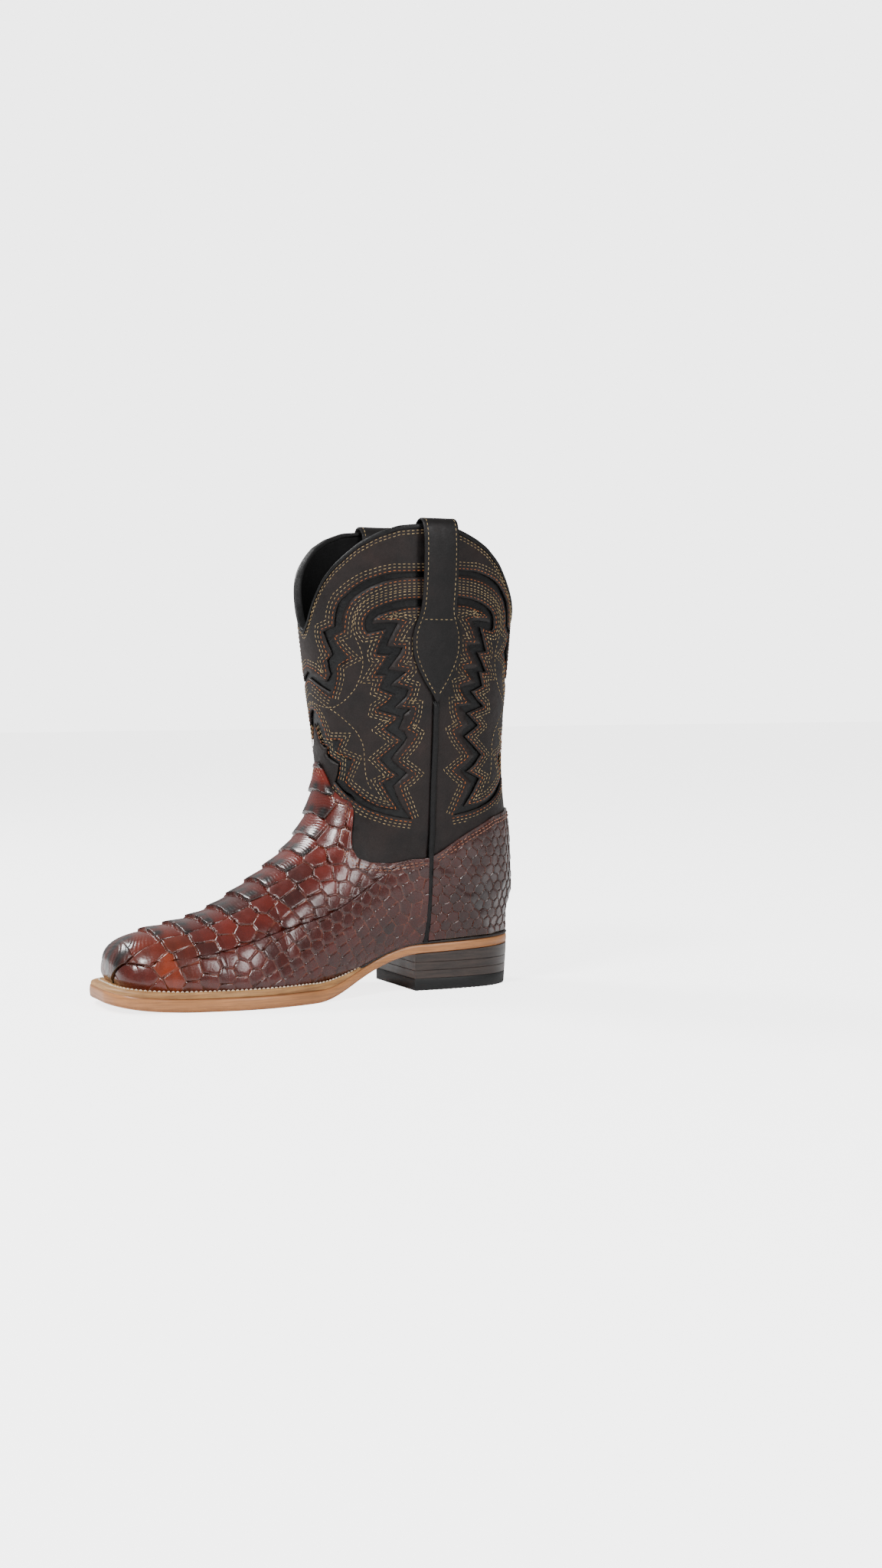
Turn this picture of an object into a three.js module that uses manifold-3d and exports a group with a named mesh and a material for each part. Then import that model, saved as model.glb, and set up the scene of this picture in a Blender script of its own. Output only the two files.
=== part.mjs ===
// A right cowboy boot with a square toe, in millimetres.
// +Z is up, the toe points along -Y and +X is the inner (medial) side of the foot.
// The origin lies on the floor, under the middle of the heel.
import * as THREE from 'three';
import { mergeVertices } from 'three/addons/utils/BufferGeometryUtils.js';
import ManifoldModule from 'manifold-3d';

const wasm = await ManifoldModule();
wasm.setup();

// ---- driving sizes ----
const bootLength = 292;         // outsole, toe to back of the heel
const ballWidth = 98;           // last, across the ball of the foot
const legHeight = 276.5;        // heel seat to the highest part of the top edge
const heelHeight = 25;          // floor to the bottom of the outsole, at the heel breast
const heelLength = 80;          // top lift, breast to back
const heelTaper = 1.5;          // how much smaller the heel is at the floor, each side
const topLiftThickness = 8;
const toeSpring = 5;
const soleThickness = 8.5;      // outsole under the forefoot
const waistThickness = 6.5;     // outsole under the arch and the heel
const weltThickness = 4;
const randThickness = 1.5;
const forefootEdge = 6.5;       // how far the sole stands out past the last
const waistEdge = 1.5;
const toeEdge = 12;
const shaftLeather = 1.4;
const vampLeather = 1.5;
const inlayLeather = 0.9;
const liningLeather = 1.2;
const stiffenerThickness = 2.4;
const bindingThickness = 0.6;
const bindingHeight = 4;
const pipingWidth = 3;
const strapWidth = 25;
const strapLeather = 1.8;
const strapBow = 6.6;            // how far the finger loop stands off the leg
const strapRise = 4.5;          // top of the loop above the top edge
const insoleThickness = 3;
const sockThickness = 1.2;
const shankLength = 108;
const shankWidth = 14;
const shankThickness = 1.6;
const pegDiameter = 2.4;
const pegCount = 5;             // each side of the waist
const pegInset = 11;            // from the sole's edge to the middle of a peg
const pegFront = 18;            // first peg behind the ball
const pegBack = 10;             // last peg in front of the heel breast
const nailShank = 2.2;
const nailHead = 4.6;
const seatNailLength = 22;
const liftNailLength = 17;
const headHeight = 1;
const headDepth = 0.4;          // how far the lift nails' heads sit above the floor
const liftCount = 3;            // leather lifts between the outsole and the top lift
const ribInset = 10;            // from the last's edge to the outside of the insole rib
const ribWidth = 2;
const fillerGap = 1.2;          // between the insole rib and the cork filler
const ribEnd = 40;              // how far the rib runs back past the ball
const weltEnd = 44;             // how far the welt runs back past the ball
const weltReach = 8;            // how far the welt and the rand reach in under the upper
const lap = 12;                 // how far the shaft runs down under the vamp and counter
const gap = 0.3;                // between pieces that touch
const holeClearance = 0.3;      // round a peg or nail, on the radius

// ---- places that follow from the sizes ----
const drawn = { length: 292, width: 98, leg: 276.5, ankle: 75 };
const backY = 46;
const along = (y) => backY + (y - backY) * bootLength / drawn.length;
const across = (x) => x * ballWidth / drawn.width;
const breastY = backY - heelLength;
const ballY = along(-114);
const treadY = along(-195);
const toeY = along(-246);
const seamY = along(-27);
const legDepth = seamY - along(-103);
const legHalfWidth = across(52);

const clamp = (t, low = 0, high = 1) => Math.min(Math.max(t, low), high);
const mix = (a, b, t) => a + (b - a) * t;
const ease = (t) => clamp(t) ** 2 * (3 - 2 * clamp(t));

// ---- heights along the sole ----
const ballToWaist = (y) => ease((y - ballY + 10) / 60);
const soleBottom = (y) => heelHeight * ease((y - ballY) / (breastY + 4 - ballY))
  + 0.035 * Math.max(y - breastY, 0)
  + toeSpring * clamp((treadY - y) / 50, 0, 1.3) ** 2;
const soleTop = (y) => soleBottom(y) + mix(soleThickness, waistThickness, ballToWaist(y));
const weltToRand = (y) => ease((y - ballY - 5) / 45);
const feather = (y) => soleTop(y) + mix(weltThickness, randThickness, weltToRand(y));
const seat = soleTop(0);
const legPart = (legHeight - drawn.ankle) / (drawn.leg - drawn.ankle);
const raised = (height) => seat + Math.min(height, drawn.ankle) + Math.max(height - drawn.ankle, 0) * legPart;

// ---- layers of the upper: distances outward from the face of the shaft leather ----
const shaftInside = -shaftLeather;
const inlayOutside = shaftInside - gap;
const inlayInside = inlayOutside - inlayLeather;
const liningOutside = Math.min(inlayInside, -stiffenerThickness) - gap;
const liningInside = liningOutside - liningLeather;
const vampInside = gap;
const vampOutside = gap + vampLeather;

// A uniform cubic B-spline through the control rows, with straight ends.
function spline(rows, t) {
  const last = rows.length - 1;
  const place = clamp(t) * last;
  const i = Math.min(Math.floor(place), last - 1);
  const f = place - i;
  const row = (k) => (k < 0 ? rows[0].map((a, n) => 2 * a - rows[1][n])
    : k > last ? rows[last].map((a, n) => 2 * a - rows[last - 1][n]) : rows[k]);
  const weights = [(1 - f) ** 3, 3 * f ** 3 - 6 * f ** 2 + 4, -3 * f ** 3 + 3 * f ** 2 + 3 * f + 1, f ** 3];
  return rows[0].map((_, n) => weights.reduce((sum, w, k) => sum + w * row(i + k - 1)[n] / 6, 0));
}

// Height of a line drawn round the leg: 0 is the front centre, 100 the side seam, 200 the back centre.
function heightAlong(points) {
  return (walk) => {
    const k = clamp(points.findIndex((p) => p[0] > walk), 1, points.length - 1);
    const index = walk >= points[points.length - 1][0] ? points.length - 1 : k;
    const [a, b] = [points[index - 1], points[index]];
    return raised(mix(a[1], b[1], clamp((walk - a[0]) / (b[0] - a[0]))));
  };
}

// ---- plan of the last, from the toe to the back of the heel ----
const innerLast = [[21, -234], [32, -231.5], [40, -220], [46, -200], [52, -174], [54.5, -148], [48, -118],
  [37, -90], [30.5, -65], [29.5, -42], [31.5, -20], [32.5, 5], [29.5, 25], [21, 38], [10.5, 43.7], [0, 44.5]];
const outerLast = [[-6, -234], [-16, -231.5], [-25, -220], [-32, -200], [-39, -172], [-43.5, -142],
  [-42.5, -112], [-38, -86], [-34, -60], [-32.5, -40], [-32.5, -20], [-32.5, 5], [-29.5, 25], [-21, 38],
  [-10.5, 43.7], [0, 44.5]];
const planOf = (points) => points.map(([x, y]) => [across(x), along(y)]);

// The last's plan moved outward by a distance that may depend on y. Gives x of the edge on either side.
function outline(outward) {
  const edges = [innerLast, outerLast].map((points, index) => {
    const side = index === 0 ? 1 : -1;
    const count = 160;
    const curve = Array.from({ length: count + 1 }, (_, k) => spline(planOf(points), k / count));
    const moved = curve.map(([x, y], k) => {
      const [before, after] = [curve[Math.max(k - 1, 0)], curve[Math.min(k + 1, count)]];
      const run = Math.hypot(after[0] - before[0], after[1] - before[1]);
      const normal = [side * (after[1] - before[1]) / run, -side * (after[0] - before[0]) / run];
      return [x + (k ? normal[0] : 0) * outward(y), y + (k ? normal[1] : -1) * outward(y)];
    });
    return moved.filter((p, k) => moved.slice(0, k).every((q) => q[1] < p[1]));
  });
  const edge = (side, y) => {
    const points = edges[side > 0 ? 0 : 1];
    const k = points.findIndex((p) => p[1] > y);
    if (k < 0) return points[points.length - 1][0];
    if (k === 0) return points[0][0];
    const t = (y - points[k - 1][1]) / (points[k][1] - points[k - 1][1]);
    return mix(points[k - 1][0], points[k][0], t);
  };
  const front = Math.max(edges[0][0][1], edges[1][0][1]);
  const back = Math.min(edges[0][edges[0].length - 1][1], edges[1][edges[1].length - 1][1]);
  return { edge, front, back };
}

const lastPlan = outline(() => 0);
const solePlan = outline((y) => mix(forefootEdge, waistEdge, weltToRand(y))
  + (toeEdge - forefootEdge) * ease((along(-205) - y) / 30));

// ---- the boot's outer surface ----
// Each row is a slanted ring round the boot: front point y and height, back point y and height, half width on
// the inner and on the outer side. Heights are above the sole under that point, at the leg above the heel seat.
// A back height of null lies on the feather line, where the upper meets the sole.
const rings = [
  [-234, null, -234, null, 21, 6], [-236, 13, -233.3, null, 25, 13], [-235, 21.3, -230, null, 32, 21],
  [-228, 29.8, -224, null, 37.5, 27], [-213, 36.9, -210, null, 44, 34], [-190, 41, -188, null, 49.5, 40],
  [-166, 47.5, -165, null, 53, 44.5], [-145, 60.5, -141, null, 52.5, 47.5], [-126, 73, -117, null, 48, 48],
  [-110, 84.3, -93, null, 43.5, 46], [-98.5, 93, -69, null, 40, 43], [-93, 101.2, -45, null, 38.5, 40],
  [-91, 108.5, -21, null, 38.5, 39], [-90.3, 114.4, 3, null, 39.5, 39.5], [-90.5, 121.5, 25, null, 41, 41],
  [-91.5, 130.3, 42.5, null, 42.5, 42.5], [-92.5, 140.3, 49, 24.3, 43.5, 43.5],
  [-94, 150.3, 50, 49.3, 44.5, 44.5], [-95.5, 161.3, 45.5, 75.3, 46, 46], [-97, 173.3, 41.5, 101.3, 47.5, 47.5],
  [-98.5, 187.3, 41, 130.3, 49, 49], [-100.5, 204.3, 43.5, 162.3, 50.5, 50.5],
  [-103, 225.3, 47, 197.3, 51.5, 51.5], [-105.5, 251.3, 50, 237.3, 52, 52], [-107.5, 282.3, 52, 282.3, 52.5, 52.5],
];
const footRing = 15;            // the last ring whose ends stand on the feather line
const closedFrom = footRing + 0.8;   // beyond this row the rings close behind the heel
const ringRows = rings.map(([frontY, frontHeight, rearY, rearHeight, inner, outer], row) => {
  const onLeg = ease((row - 8) / 7);
  const [fy, by] = [along(frontY), along(rearY)];
  const footZ = frontHeight === null ? feather(fy) : soleTop(fy) + frontHeight;
  const frontZ = frontHeight === null ? footZ : mix(footZ, raised(frontHeight), onLeg);
  return [fy, frontZ, by, rearHeight === null ? feather(by) : raised(rearHeight), across(inner), across(outer)];
});

// A point of the surface: row counts along the rings, turn goes from -1 (outer) over the front (0) to 1 (inner).
function surfacePoint(row, turn) {
  const [fy, fz, by, bz, inner, outer] = spline(ringRows, row / (rings.length - 1));
  const side = turn < 0 ? -1 : 1;
  const feet = row < closedFrom ? [lastPlan.edge(1, by), lastPlan.edge(-1, by)] : [0, 0];
  const middle = (feet[0] + feet[1]) / 2 * (1 - ease((row - 9) / 6));
  const half = Math.abs(feet[side > 0 ? 0 : 1] - middle);
  const width = Math.max(side > 0 ? inner - middle : outer + middle, half);
  const end = Math.PI - Math.asin(Math.min(half / width, 0.9999) ** (1 / 0.9));
  const shift = Math.abs(Math.cos(end)) / (1 + Math.abs(Math.cos(end)));
  const angle = Math.abs(turn) * end;
  const share = shift + (1 - shift) * Math.cos(angle);
  const x = middle + side * width * Math.max(Math.sin(angle), 0) ** 0.9;
  return new THREE.Vector3(x, mix(by, fy, share), mix(bz, fz, share));
}

// The first ring is a mere line, so its normals are those of a place just behind it.
function surfaceNormal(ring, turn) {
  const step = 1e-3;
  const topRow = rings.length - 1;
  const row = Math.max(ring, 0.4);
  const [r0, r1] = [Math.max(row - step * 20, 0), Math.min(row + step * 20, topRow)];
  const side = turn < 0 ? -1 : 1;
  const [t0, t1] = [Math.abs(turn) - step, Math.abs(turn) + step].map((t) => side * clamp(t));
  const alongRow = surfacePoint(row, t1).sub(surfacePoint(row, t0)).multiplyScalar(side);
  const acrossRows = surfacePoint(r1, turn).sub(surfacePoint(r0, turn));
  const normal = alongRow.cross(acrossRows).normalize();
  return turn === 0 ? normal.setX(0).normalize() : normal;
}

// x of the leg's surface at the side of the leg, for the straps.
function legSide(side, y, z) {
  let [low, high] = [footRing, rings.length - 1];
  const state = (row) => {
    const [fy, fz, by, bz, inner, outer] = spline(ringRows, row / (rings.length - 1));
    const share = (y - by) / (fy - by);
    return { z: mix(bz, fz, share), share, width: side > 0 ? inner : outer };
  };
  for (let n = 0; n < 40; n += 1) {
    const middle = (low + high) / 2;
    if (state(middle).z < z) low = middle;
    else high = middle;
  }
  const { share, width } = state(low);
  const cosine = 2 * share - 1;
  return side * width * (1 - cosine ** 2) ** 0.45;
}

// ---- solids ----
function meshOf(positions, triangles) {
  const geometry = new THREE.BufferGeometry();
  geometry.setAttribute('position', new THREE.Float32BufferAttribute(positions, 3));
  geometry.setIndex(triangles);
  return geometry;
}

function solidOf(geometry) {
  const bare = meshOf(Array.from(geometry.getAttribute('position').array), Array.from(geometry.index.array));
  const welded = mergeVertices(bare, 1e-4);
  const index = welded.index.array;
  const kept = [];
  for (let k = 0; k < index.length; k += 3) {
    const [a, b, c] = [index[k], index[k + 1], index[k + 2]];
    if (a !== b && b !== c && c !== a) kept.push(a, b, c);
  }
  return new wasm.Manifold(new wasm.Mesh({
    numProp: 3,
    vertProperties: Float32Array.from(welded.getAttribute('position').array),
    triVerts: Uint32Array.from(kept),
  }));
}

// A solid through loops of points that all hold the same number of points, capped at both ends or joined round.
function loft(loops, joined = false) {
  const count = loops[0].length;
  const positions = loops.flat().flatMap((p) => [p.x, p.y, p.z]);
  const triangles = [];
  const spans = joined ? loops.length : loops.length - 1;
  for (let i = 0; i < spans; i += 1) {
    const [row, next] = [i * count, ((i + 1) % loops.length) * count];
    for (let j = 0; j < count; j += 1) {
      const k = (j + 1) % count;
      triangles.push(row + j, row + k, next + k, row + j, next + k, next + j);
    }
  }
  if (!joined) {
    [[0, 1], [loops.length - 1, -1]].forEach(([ring, way]) => {
      const middle = loops[ring].reduce((sum, p) => sum.add(p), new THREE.Vector3()).divideScalar(count);
      const hub = positions.push(middle.x, middle.y, middle.z) / 3 - 1;
      for (let j = 0; j < count; j += 1) {
        const [a, b] = [ring * count + j, ring * count + (j + 1) % count];
        triangles.push(hub, ...(way > 0 ? [b, a] : [a, b]));
      }
    });
  }
  let volume = 0;
  const at = (k) => new THREE.Vector3(...positions.slice(3 * k, 3 * k + 3));
  for (let k = 0; k < triangles.length; k += 3) {
    volume += at(triangles[k]).dot(at(triangles[k + 1]).cross(at(triangles[k + 2])));
  }
  if (volume < 0) triangles.reverse();
  return solidOf(meshOf(positions, triangles));
}

const columns = 20;
const rowsUsed = [0, 0.6, 1.2, 2, 3.2, 4.8, 6.4, 8, 9.5, 11, 12.5, 14, 15, 15.25, 16.2, 17.7, 19.2, 21, 22.5, 24];
const bodies = new Map();

// The whole boot as one solid, its skin moved outward by a distance. It reaches down past the feather line.
function bootBody(outward, extraTop) {
  const key = `${outward} ${extraTop}`;
  if (bodies.has(key)) return bodies.get(key);
  const loops = rowsUsed.map((row) => {
    const closedRing = row >= closedFrom;
    const loop = [];
    for (let k = 0; k <= columns; k += 1) {
      const turn = -1 + 2 * k / columns;
      const point = surfacePoint(row, turn);
      const normal = surfaceNormal(row, turn);
      if (closedRing && Math.abs(turn) === 1) normal.setX(0).normalize();
      point.addScaledVector(normal, outward);
      if (closedRing && Math.abs(turn) === 1) point.x = 0;
      if (row === rowsUsed[rowsUsed.length - 1]) point.z += extraTop;
      loop.push(point);
    }
    const [outerEnd, innerEnd] = [loop[0], loop[columns]];
    const drop = closedRing ? 0 : 25;
    loop.push(innerEnd.clone().setZ(innerEnd.z - drop));
    loop.push(outerEnd.clone().setZ(outerEnd.z - drop));
    return loop;
  });
  const body = loft(loops);
  bodies.set(key, body);
  return body;
}

const shell = (outside, inside) => bootBody(outside, 0).subtract(bootBody(inside, 10));

// A flat piece that follows the sole: an outline in plan, between two heights that depend on y.
function plate(plan, low, high, from = -Infinity, to = Infinity, stations = 30) {
  const front = Math.max(plan.front, from);
  const back = Math.min(plan.back - 0.02, to);
  return loft(Array.from({ length: stations + 1 }, (_, k) => {
    const y = mix(front, back, (1 - Math.cos(Math.PI * k / stations)) / 2);
    const [x0, x1] = [plan.edge(-1, y), plan.edge(1, y)];
    return [[x0, low(y)], [x1, low(y)], [x1, high(y)], [x0, high(y)]].map(([x, z]) => new THREE.Vector3(x, y, z));
  }));
}

function block(x0, x1, y0, y1, z0, z1) {
  const box = new THREE.BoxGeometry(x1 - x0, y1 - y0, z1 - z0);
  return solidOf(box.translate((x0 + x1) / 2, (y0 + y1) / 2, (z0 + z1) / 2));
}

// A wall of space right round the leg, between two heights that depend on the way round.
function curtain(low, high) {
  const step = 8;
  return loft(Array.from({ length: 360 / step }, (_, k) => {
    const angle = k * step;
    const quarter = angle <= 180 ? angle : 360 - angle;
    const walk = quarter / 0.9 - 6 * Math.sin(2 * quarter * Math.PI / 180);
    const radians = angle * Math.PI / 180;
    const way = new THREE.Vector3(legHalfWidth * Math.sin(radians), -legDepth * Math.cos(radians), 0);
    const corner = (scale, z) => new THREE.Vector3(way.x * scale, seamY + way.y * scale, z);
    const scales = [0.35, 0.7, 0.85, 1, 1.15, 1.35, 2];
    return [...scales.map((scale) => corner(scale, low(walk))),
      ...[...scales].reverse().map((scale) => corner(scale, high(walk)))];
  }), true);
}

const everywhere = 500;
const frontHalf = (edge) => block(-everywhere, everywhere, -everywhere, seamY - edge, -everywhere, everywhere);
const backHalf = (edge) => block(-everywhere, everywhere, seamY + edge, everywhere, -everywhere, everywhere);
const innerHalf = (edge) => block(edge, everywhere, -everywhere, everywhere, -everywhere, everywhere);
const outerHalf = (edge) => block(-everywhere, -edge, -everywhere, everywhere, -everywhere, everywhere);

const meshTolerance = 0.05;
const crumb = 1;                // mm3: a cut can leave a sliver smaller than this
const pieces = [];
function add(name, solid, color, roughness, metalness = 0) {
  const bodies = solid.simplify(meshTolerance).decompose().filter((body) => body.volume() > crumb);
  const { vertProperties, triVerts } = wasm.Manifold.compose(bodies).getMesh();
  const geometry = meshOf(Array.from(vertProperties), Array.from(triVerts));
  geometry.computeVertexNormals();
  const material = new THREE.MeshStandardMaterial({ color, roughness, metalness });
  const mesh = new THREE.Mesh(geometry, material);
  mesh.name = name;
  pieces.push(mesh);
}

// ---- lines round the leg: [way round, height above the heel seat] ----
const topEdge = heightAlong([[0, 207.5], [4, 210], [8, 214], [17.5, 229.5], [25, 240.5], [33, 249.5], [42, 257.5],
  [50, 264], [62, 270.5], [75, 275], [90, 276.5], [102, 276.5], [112, 274.5], [120, 271.5], [130, 267],
  [138, 262.5], [150, 253], [165, 236], [180, 221], [192, 212], [200, 210]]);
const upperEdge = heightAlong([[0, 121], [5, 119.5], [8, 117], [13.5, 111.5], [18, 105.5], [22, 102], [29, 97.5],
  [36.5, 95], [40, 90], [41.5, 81], [43, 73], [46.5, 64.5], [52, 58.5], [61, 55.5], [75, 54.5], [89, 57],
  [100, 58.5], [104, 60.5], [118, 69], [126.5, 73.5], [139, 78.5], [150, 83], [175, 87], [200, 88]]);
const shaftFoot = (walk) => upperEdge(walk) - lap;
const liningJoin = (walk) => upperEdge(walk) - 5;
const wellAbove = () => raised(legHeight) + 60;

// ---- the upper ----
const underfoot = (() => {
  const wide = { edge: (side) => side * everywhere, front: toeY - 30, back: backY + 30 };
  return plate(wide, () => -everywhere, (y) => feather(y) + gap, -Infinity, Infinity, 70);
})();
const aboveUpperEdge = curtain(upperEdge, wellAbove);
const seamEdge = pipingWidth / 2 + gap;

function addVampAndCounter() {
  const skin = shell(vampOutside, vampInside).subtract(underfoot).subtract(aboveUpperEdge);
  add('vamp', skin.intersect(frontHalf(seamEdge)), 0x6e3520, 0.35);
  add('counter_cover', skin.intersect(backHalf(seamEdge)), 0x4a2618, 0.38);
}

function addShaft() {
  const panel = shell(0, shaftInside).intersect(curtain(shaftFoot, topEdge));
  add('shaft_front', panel.intersect(frontHalf(seamEdge)), 0x2a2322, 0.75);
  add('shaft_back', panel.intersect(backHalf(seamEdge)), 0x2a2322, 0.75);
}

function addInlays() {
  const low = (walk) => upperEdge(walk) + 4;
  const high = (walk) => Math.min(raised(252), topEdge(walk) - 2 * bindingHeight);
  const leather = shell(inlayOutside, inlayInside).intersect(curtain(low, high));
  const front = leather.intersect(frontHalf(seamEdge));
  const back = leather.intersect(backHalf(seamEdge));
  add('inlay_front_medial', front.intersect(innerHalf(gap / 2)), 0x101010, 0.3);
  add('inlay_front_lateral', front.intersect(outerHalf(gap / 2)), 0x101010, 0.3);
  add('inlay_back_medial', back.intersect(innerHalf(gap / 2)), 0x101010, 0.3);
  add('inlay_back_lateral', back.intersect(outerHalf(gap / 2)), 0x101010, 0.3);
}

const patchTip = raised(161);
function addPiping() {
  const strip = (outside, low, high) => shell(outside, shaftInside)
    .intersect(block(-everywhere, everywhere, seamY - pipingWidth / 2, seamY + pipingWidth / 2, low, high));
  const raisedPart = strip(vampOutside, -everywhere, patchTip - 1);
  const flatPart = strip(0, patchTip - 2, everywhere).intersect(curtain(() => 0, topEdge));
  const piping = raisedPart.add(flatPart).subtract(underfoot);
  add('side_piping_medial', piping.intersect(innerHalf(0)), 0x1c1c1e, 0.45);
  add('side_piping_lateral', piping.intersect(outerHalf(0)), 0x1c1c1e, 0.45);
}

function addBinding() {
  const outer = shell(gap + bindingThickness, liningInside - gap - bindingThickness)
    .intersect(curtain((walk) => topEdge(walk) - bindingHeight, (walk) => topEdge(walk) + gap + bindingThickness));
  const slot = shell(gap, liningInside - gap)
    .intersect(curtain((walk) => topEdge(walk) - 2 * bindingHeight, (walk) => topEdge(walk) + gap));
  add('top_binding', outer.subtract(slot), 0x1c1c1e, 0.45);
}

// A flat shape drawn in the side view, given by half widths about the side seam, as a solid across the boot.
function acrossTheBoot(widths) {
  const shape = new THREE.Shape();
  widths.forEach(([half, height], k) => {
    if (k === 0) shape.moveTo(seamY - half, raised(height));
    else shape.lineTo(seamY - half, raised(height));
  });
  [...widths].reverse().forEach(([half, height]) => shape.lineTo(seamY + half, raised(height)));
  const slab = new THREE.ExtrudeGeometry(shape, { depth: 2 * everywhere, bevelEnabled: false });
  slab.applyMatrix4(new THREE.Matrix4().makeBasis(
    new THREE.Vector3(0, 1, 0), new THREE.Vector3(0, 0, 1), new THREE.Vector3(1, 0, 0),
  ));
  slab.translate(-everywhere, 0, 0);
  return solidOf(mergeVertices(slab.deleteAttribute('normal').deleteAttribute('uv')));
}

// One pull strap: a shield-shaped patch, a loop over the top edge and a leg sewn to the lining.
function addStrap(name, side) {
  const half = strapWidth / 2;
  const sewn = gap + strapLeather / 2;
  const inside = liningInside - gap - strapLeather / 2;
  const top = legHeight + strapRise - strapLeather / 2;
  const patch = shell(gap + strapLeather, gap).intersect(acrossTheBoot([[half + 1.5, 219], [half + 3, 212],
    [half + 5, 204], [half + 5, 197], [half + 3, 188], [half - 1, 179], [half - 5.5, 171], [0.6, 161]]));
  const tongue = shell(liningInside - gap, liningInside - gap - strapLeather)
    .intersect(acrossTheBoot([[half, 243], [half, 229]]));
  const path = new THREE.SplineCurve([[sewn, 217], [sewn, 223], [mix(sewn, strapBow, 0.55), 236],
    [strapBow, 252], [strapBow, 267], [strapBow * 0.6, top - 1.2], [-2, top], [inside - 2.5, top - 3],
    [inside - 5, top - 10], [inside - 4.5, 258], [inside - 2, 247], [inside - 1, 240], [inside - 1, 235]]
    .map((p) => new THREE.Vector2(...p)));
  const places = 30;
  const loops = Array.from({ length: places + 1 }, (_, k) => {
    const point = path.getPoint(k / places);
    const way = path.getTangent(k / places);
    const loop = [];
    [1, -1].forEach((face) => {
      for (let n = 0; n <= 4; n += 1) {
        const y = seamY + face * half * (1 - n / 2);
        const height = point.y + face * way.x * strapLeather / 2;
        const out = point.x - face * way.y * strapLeather / 2;
        const z = raised(height);
        loop.push(new THREE.Vector3(legSide(side, y, z) + side * out, y, z));
      }
    });
    return loop;
  });
  const halfSpace = side > 0 ? innerHalf(10) : outerHalf(10);
  add(name, loft(loops).add(patch).add(tongue).intersect(halfSpace), 0x1c1c1e, 0.5);
}

function addLinings() {
  const skin = shell(liningOutside, liningInside).subtract(underfoot);
  const upper = skin.intersect(curtain((walk) => liningJoin(walk) + gap / 2, topEdge));
  add('vamp_lining', skin.subtract(curtain((walk) => liningJoin(walk) - gap / 2, wellAbove)), 0x3a2f2a, 0.8);
  add('shaft_lining_front', upper.intersect(frontHalf(gap / 2)), 0x17181a, 0.8);
  add('shaft_lining_back', upper.intersect(backHalf(gap / 2)), 0x17181a, 0.8);
}

function addStiffeners() {
  const board = shell(0, -stiffenerThickness).subtract(bootBody(liningOutside + 3 * gap, 10)).subtract(underfoot);
  const toeEnd = along(-178);
  const heelStart = along(-12);
  add('toe_box', board.intersect(frontHalf(seamY - toeEnd)), 0xb9a184, 0.9);
  const lowPart = board.subtract(curtain((walk) => shaftFoot(walk) - 1, wellAbove));
  add('heel_stiffener', lowPart.intersect(backHalf(heelStart - seamY)), 0xb9a184, 0.9);
}

// ---- the bottom ----
const inset = (distance) => outline(() => -distance);
const shankRoom = Math.max(shankThickness, randThickness) + 2 * gap;
const fillerDepth = (y) => mix(weltThickness + gap, shankRoom, weltToRand(y));
const insoleBottom = (y) => soleTop(y) + fillerDepth(y);
const insoleTop = (y) => insoleBottom(y) + insoleThickness;
const shankBack = 10;
const shankFront = shankBack - shankLength;

function roundPin(length, radius, headRadius, headLength, grow = 0) {
  const r = radius + grow;
  const head = headRadius + grow;
  const profile = [[0, -grow], [head, -grow], [head, headLength], [r, headLength], [r, length + grow], [0, length + grow]]
    .map((p) => new THREE.Vector2(...p));
  const lathe = new THREE.LatheGeometry(profile, 12);
  lathe.deleteAttribute('normal').deleteAttribute('uv');
  return solidOf(lathe.rotateX(Math.PI / 2));
}

// Pins standing on the floor side of the boot, each with its hole: [name, x, y, z of the head, up or down].
const pegs = [];
for (let k = 0; k < pegCount; k += 1) {
  const y = mix(ballY + pegFront, breastY - pegBack, k / (pegCount - 1));
  [['medial', 1], ['lateral', -1]].forEach(([word, side]) => {
    pegs.push({ name: `waist_peg_${word}_${k + 1}`, x: solePlan.edge(side, y) - side * pegInset, y });
  });
}
const pegSolid = (peg, grow = 0) => {
  const middle = soleBottom(peg.y) + waistThickness / 2;
  const half = waistThickness / 2 + (grow ? 5 : -0.6);
  const pin = new THREE.CylinderGeometry(pegDiameter / 2 + grow, pegDiameter / 2 + grow, 2 * half, 10);
  pin.deleteAttribute('normal').deleteAttribute('uv');
  return solidOf(pin.rotateX(Math.PI / 2).translate(peg.x, peg.y, middle));
};

const seatNails = [[17, 2], [-17, 2], [15, 25], [-15, 25]].map(([x, y], k) => ({
  name: `heel_seat_nail_${k + 1}`, x: across(x), y: along(y), z: insoleTop(along(y)) - gap, way: -1,
}));
const liftNails = [[-23, -24], [23, -24], [-24, 8], [24, 8], [0, 36]].map(([x, y], k) => ({
  name: `top_lift_nail_${k + 1}`, x: across(x), y: Math.max(along(y), breastY + 8), z: headDepth, way: 1,
}));
function nailSolid(nail, grow = 0) {
  const length = nail.way > 0 ? liftNailLength : seatNailLength;
  const pin = roundPin(length, nailShank / 2, nailHead / 2, headHeight, grow);
  const turned = nail.way > 0 ? pin : pin.mirror([0, 0, 1]);
  return turned.translate([nail.x, nail.y, nail.z]);
}

function drilled(solid, holes) {
  return holes.reduce((rest, hole) => rest.subtract(hole), solid);
}
const nailHoles = [...seatNails, ...liftNails].map((nail) => nailSolid(nail, holeClearance));
// The floor side of each lift nail's hole, open right down past the floor so that the head shows.
const openHeads = liftNails.map((nail) => {
  const radius = nailHead / 2 + holeClearance;
  const well = new THREE.CylinderGeometry(radius, radius, 2, 12);
  well.deleteAttribute('normal').deleteAttribute('uv');
  return solidOf(well.rotateX(Math.PI / 2).translate(nail.x, nail.y, headDepth - 1));
});

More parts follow.
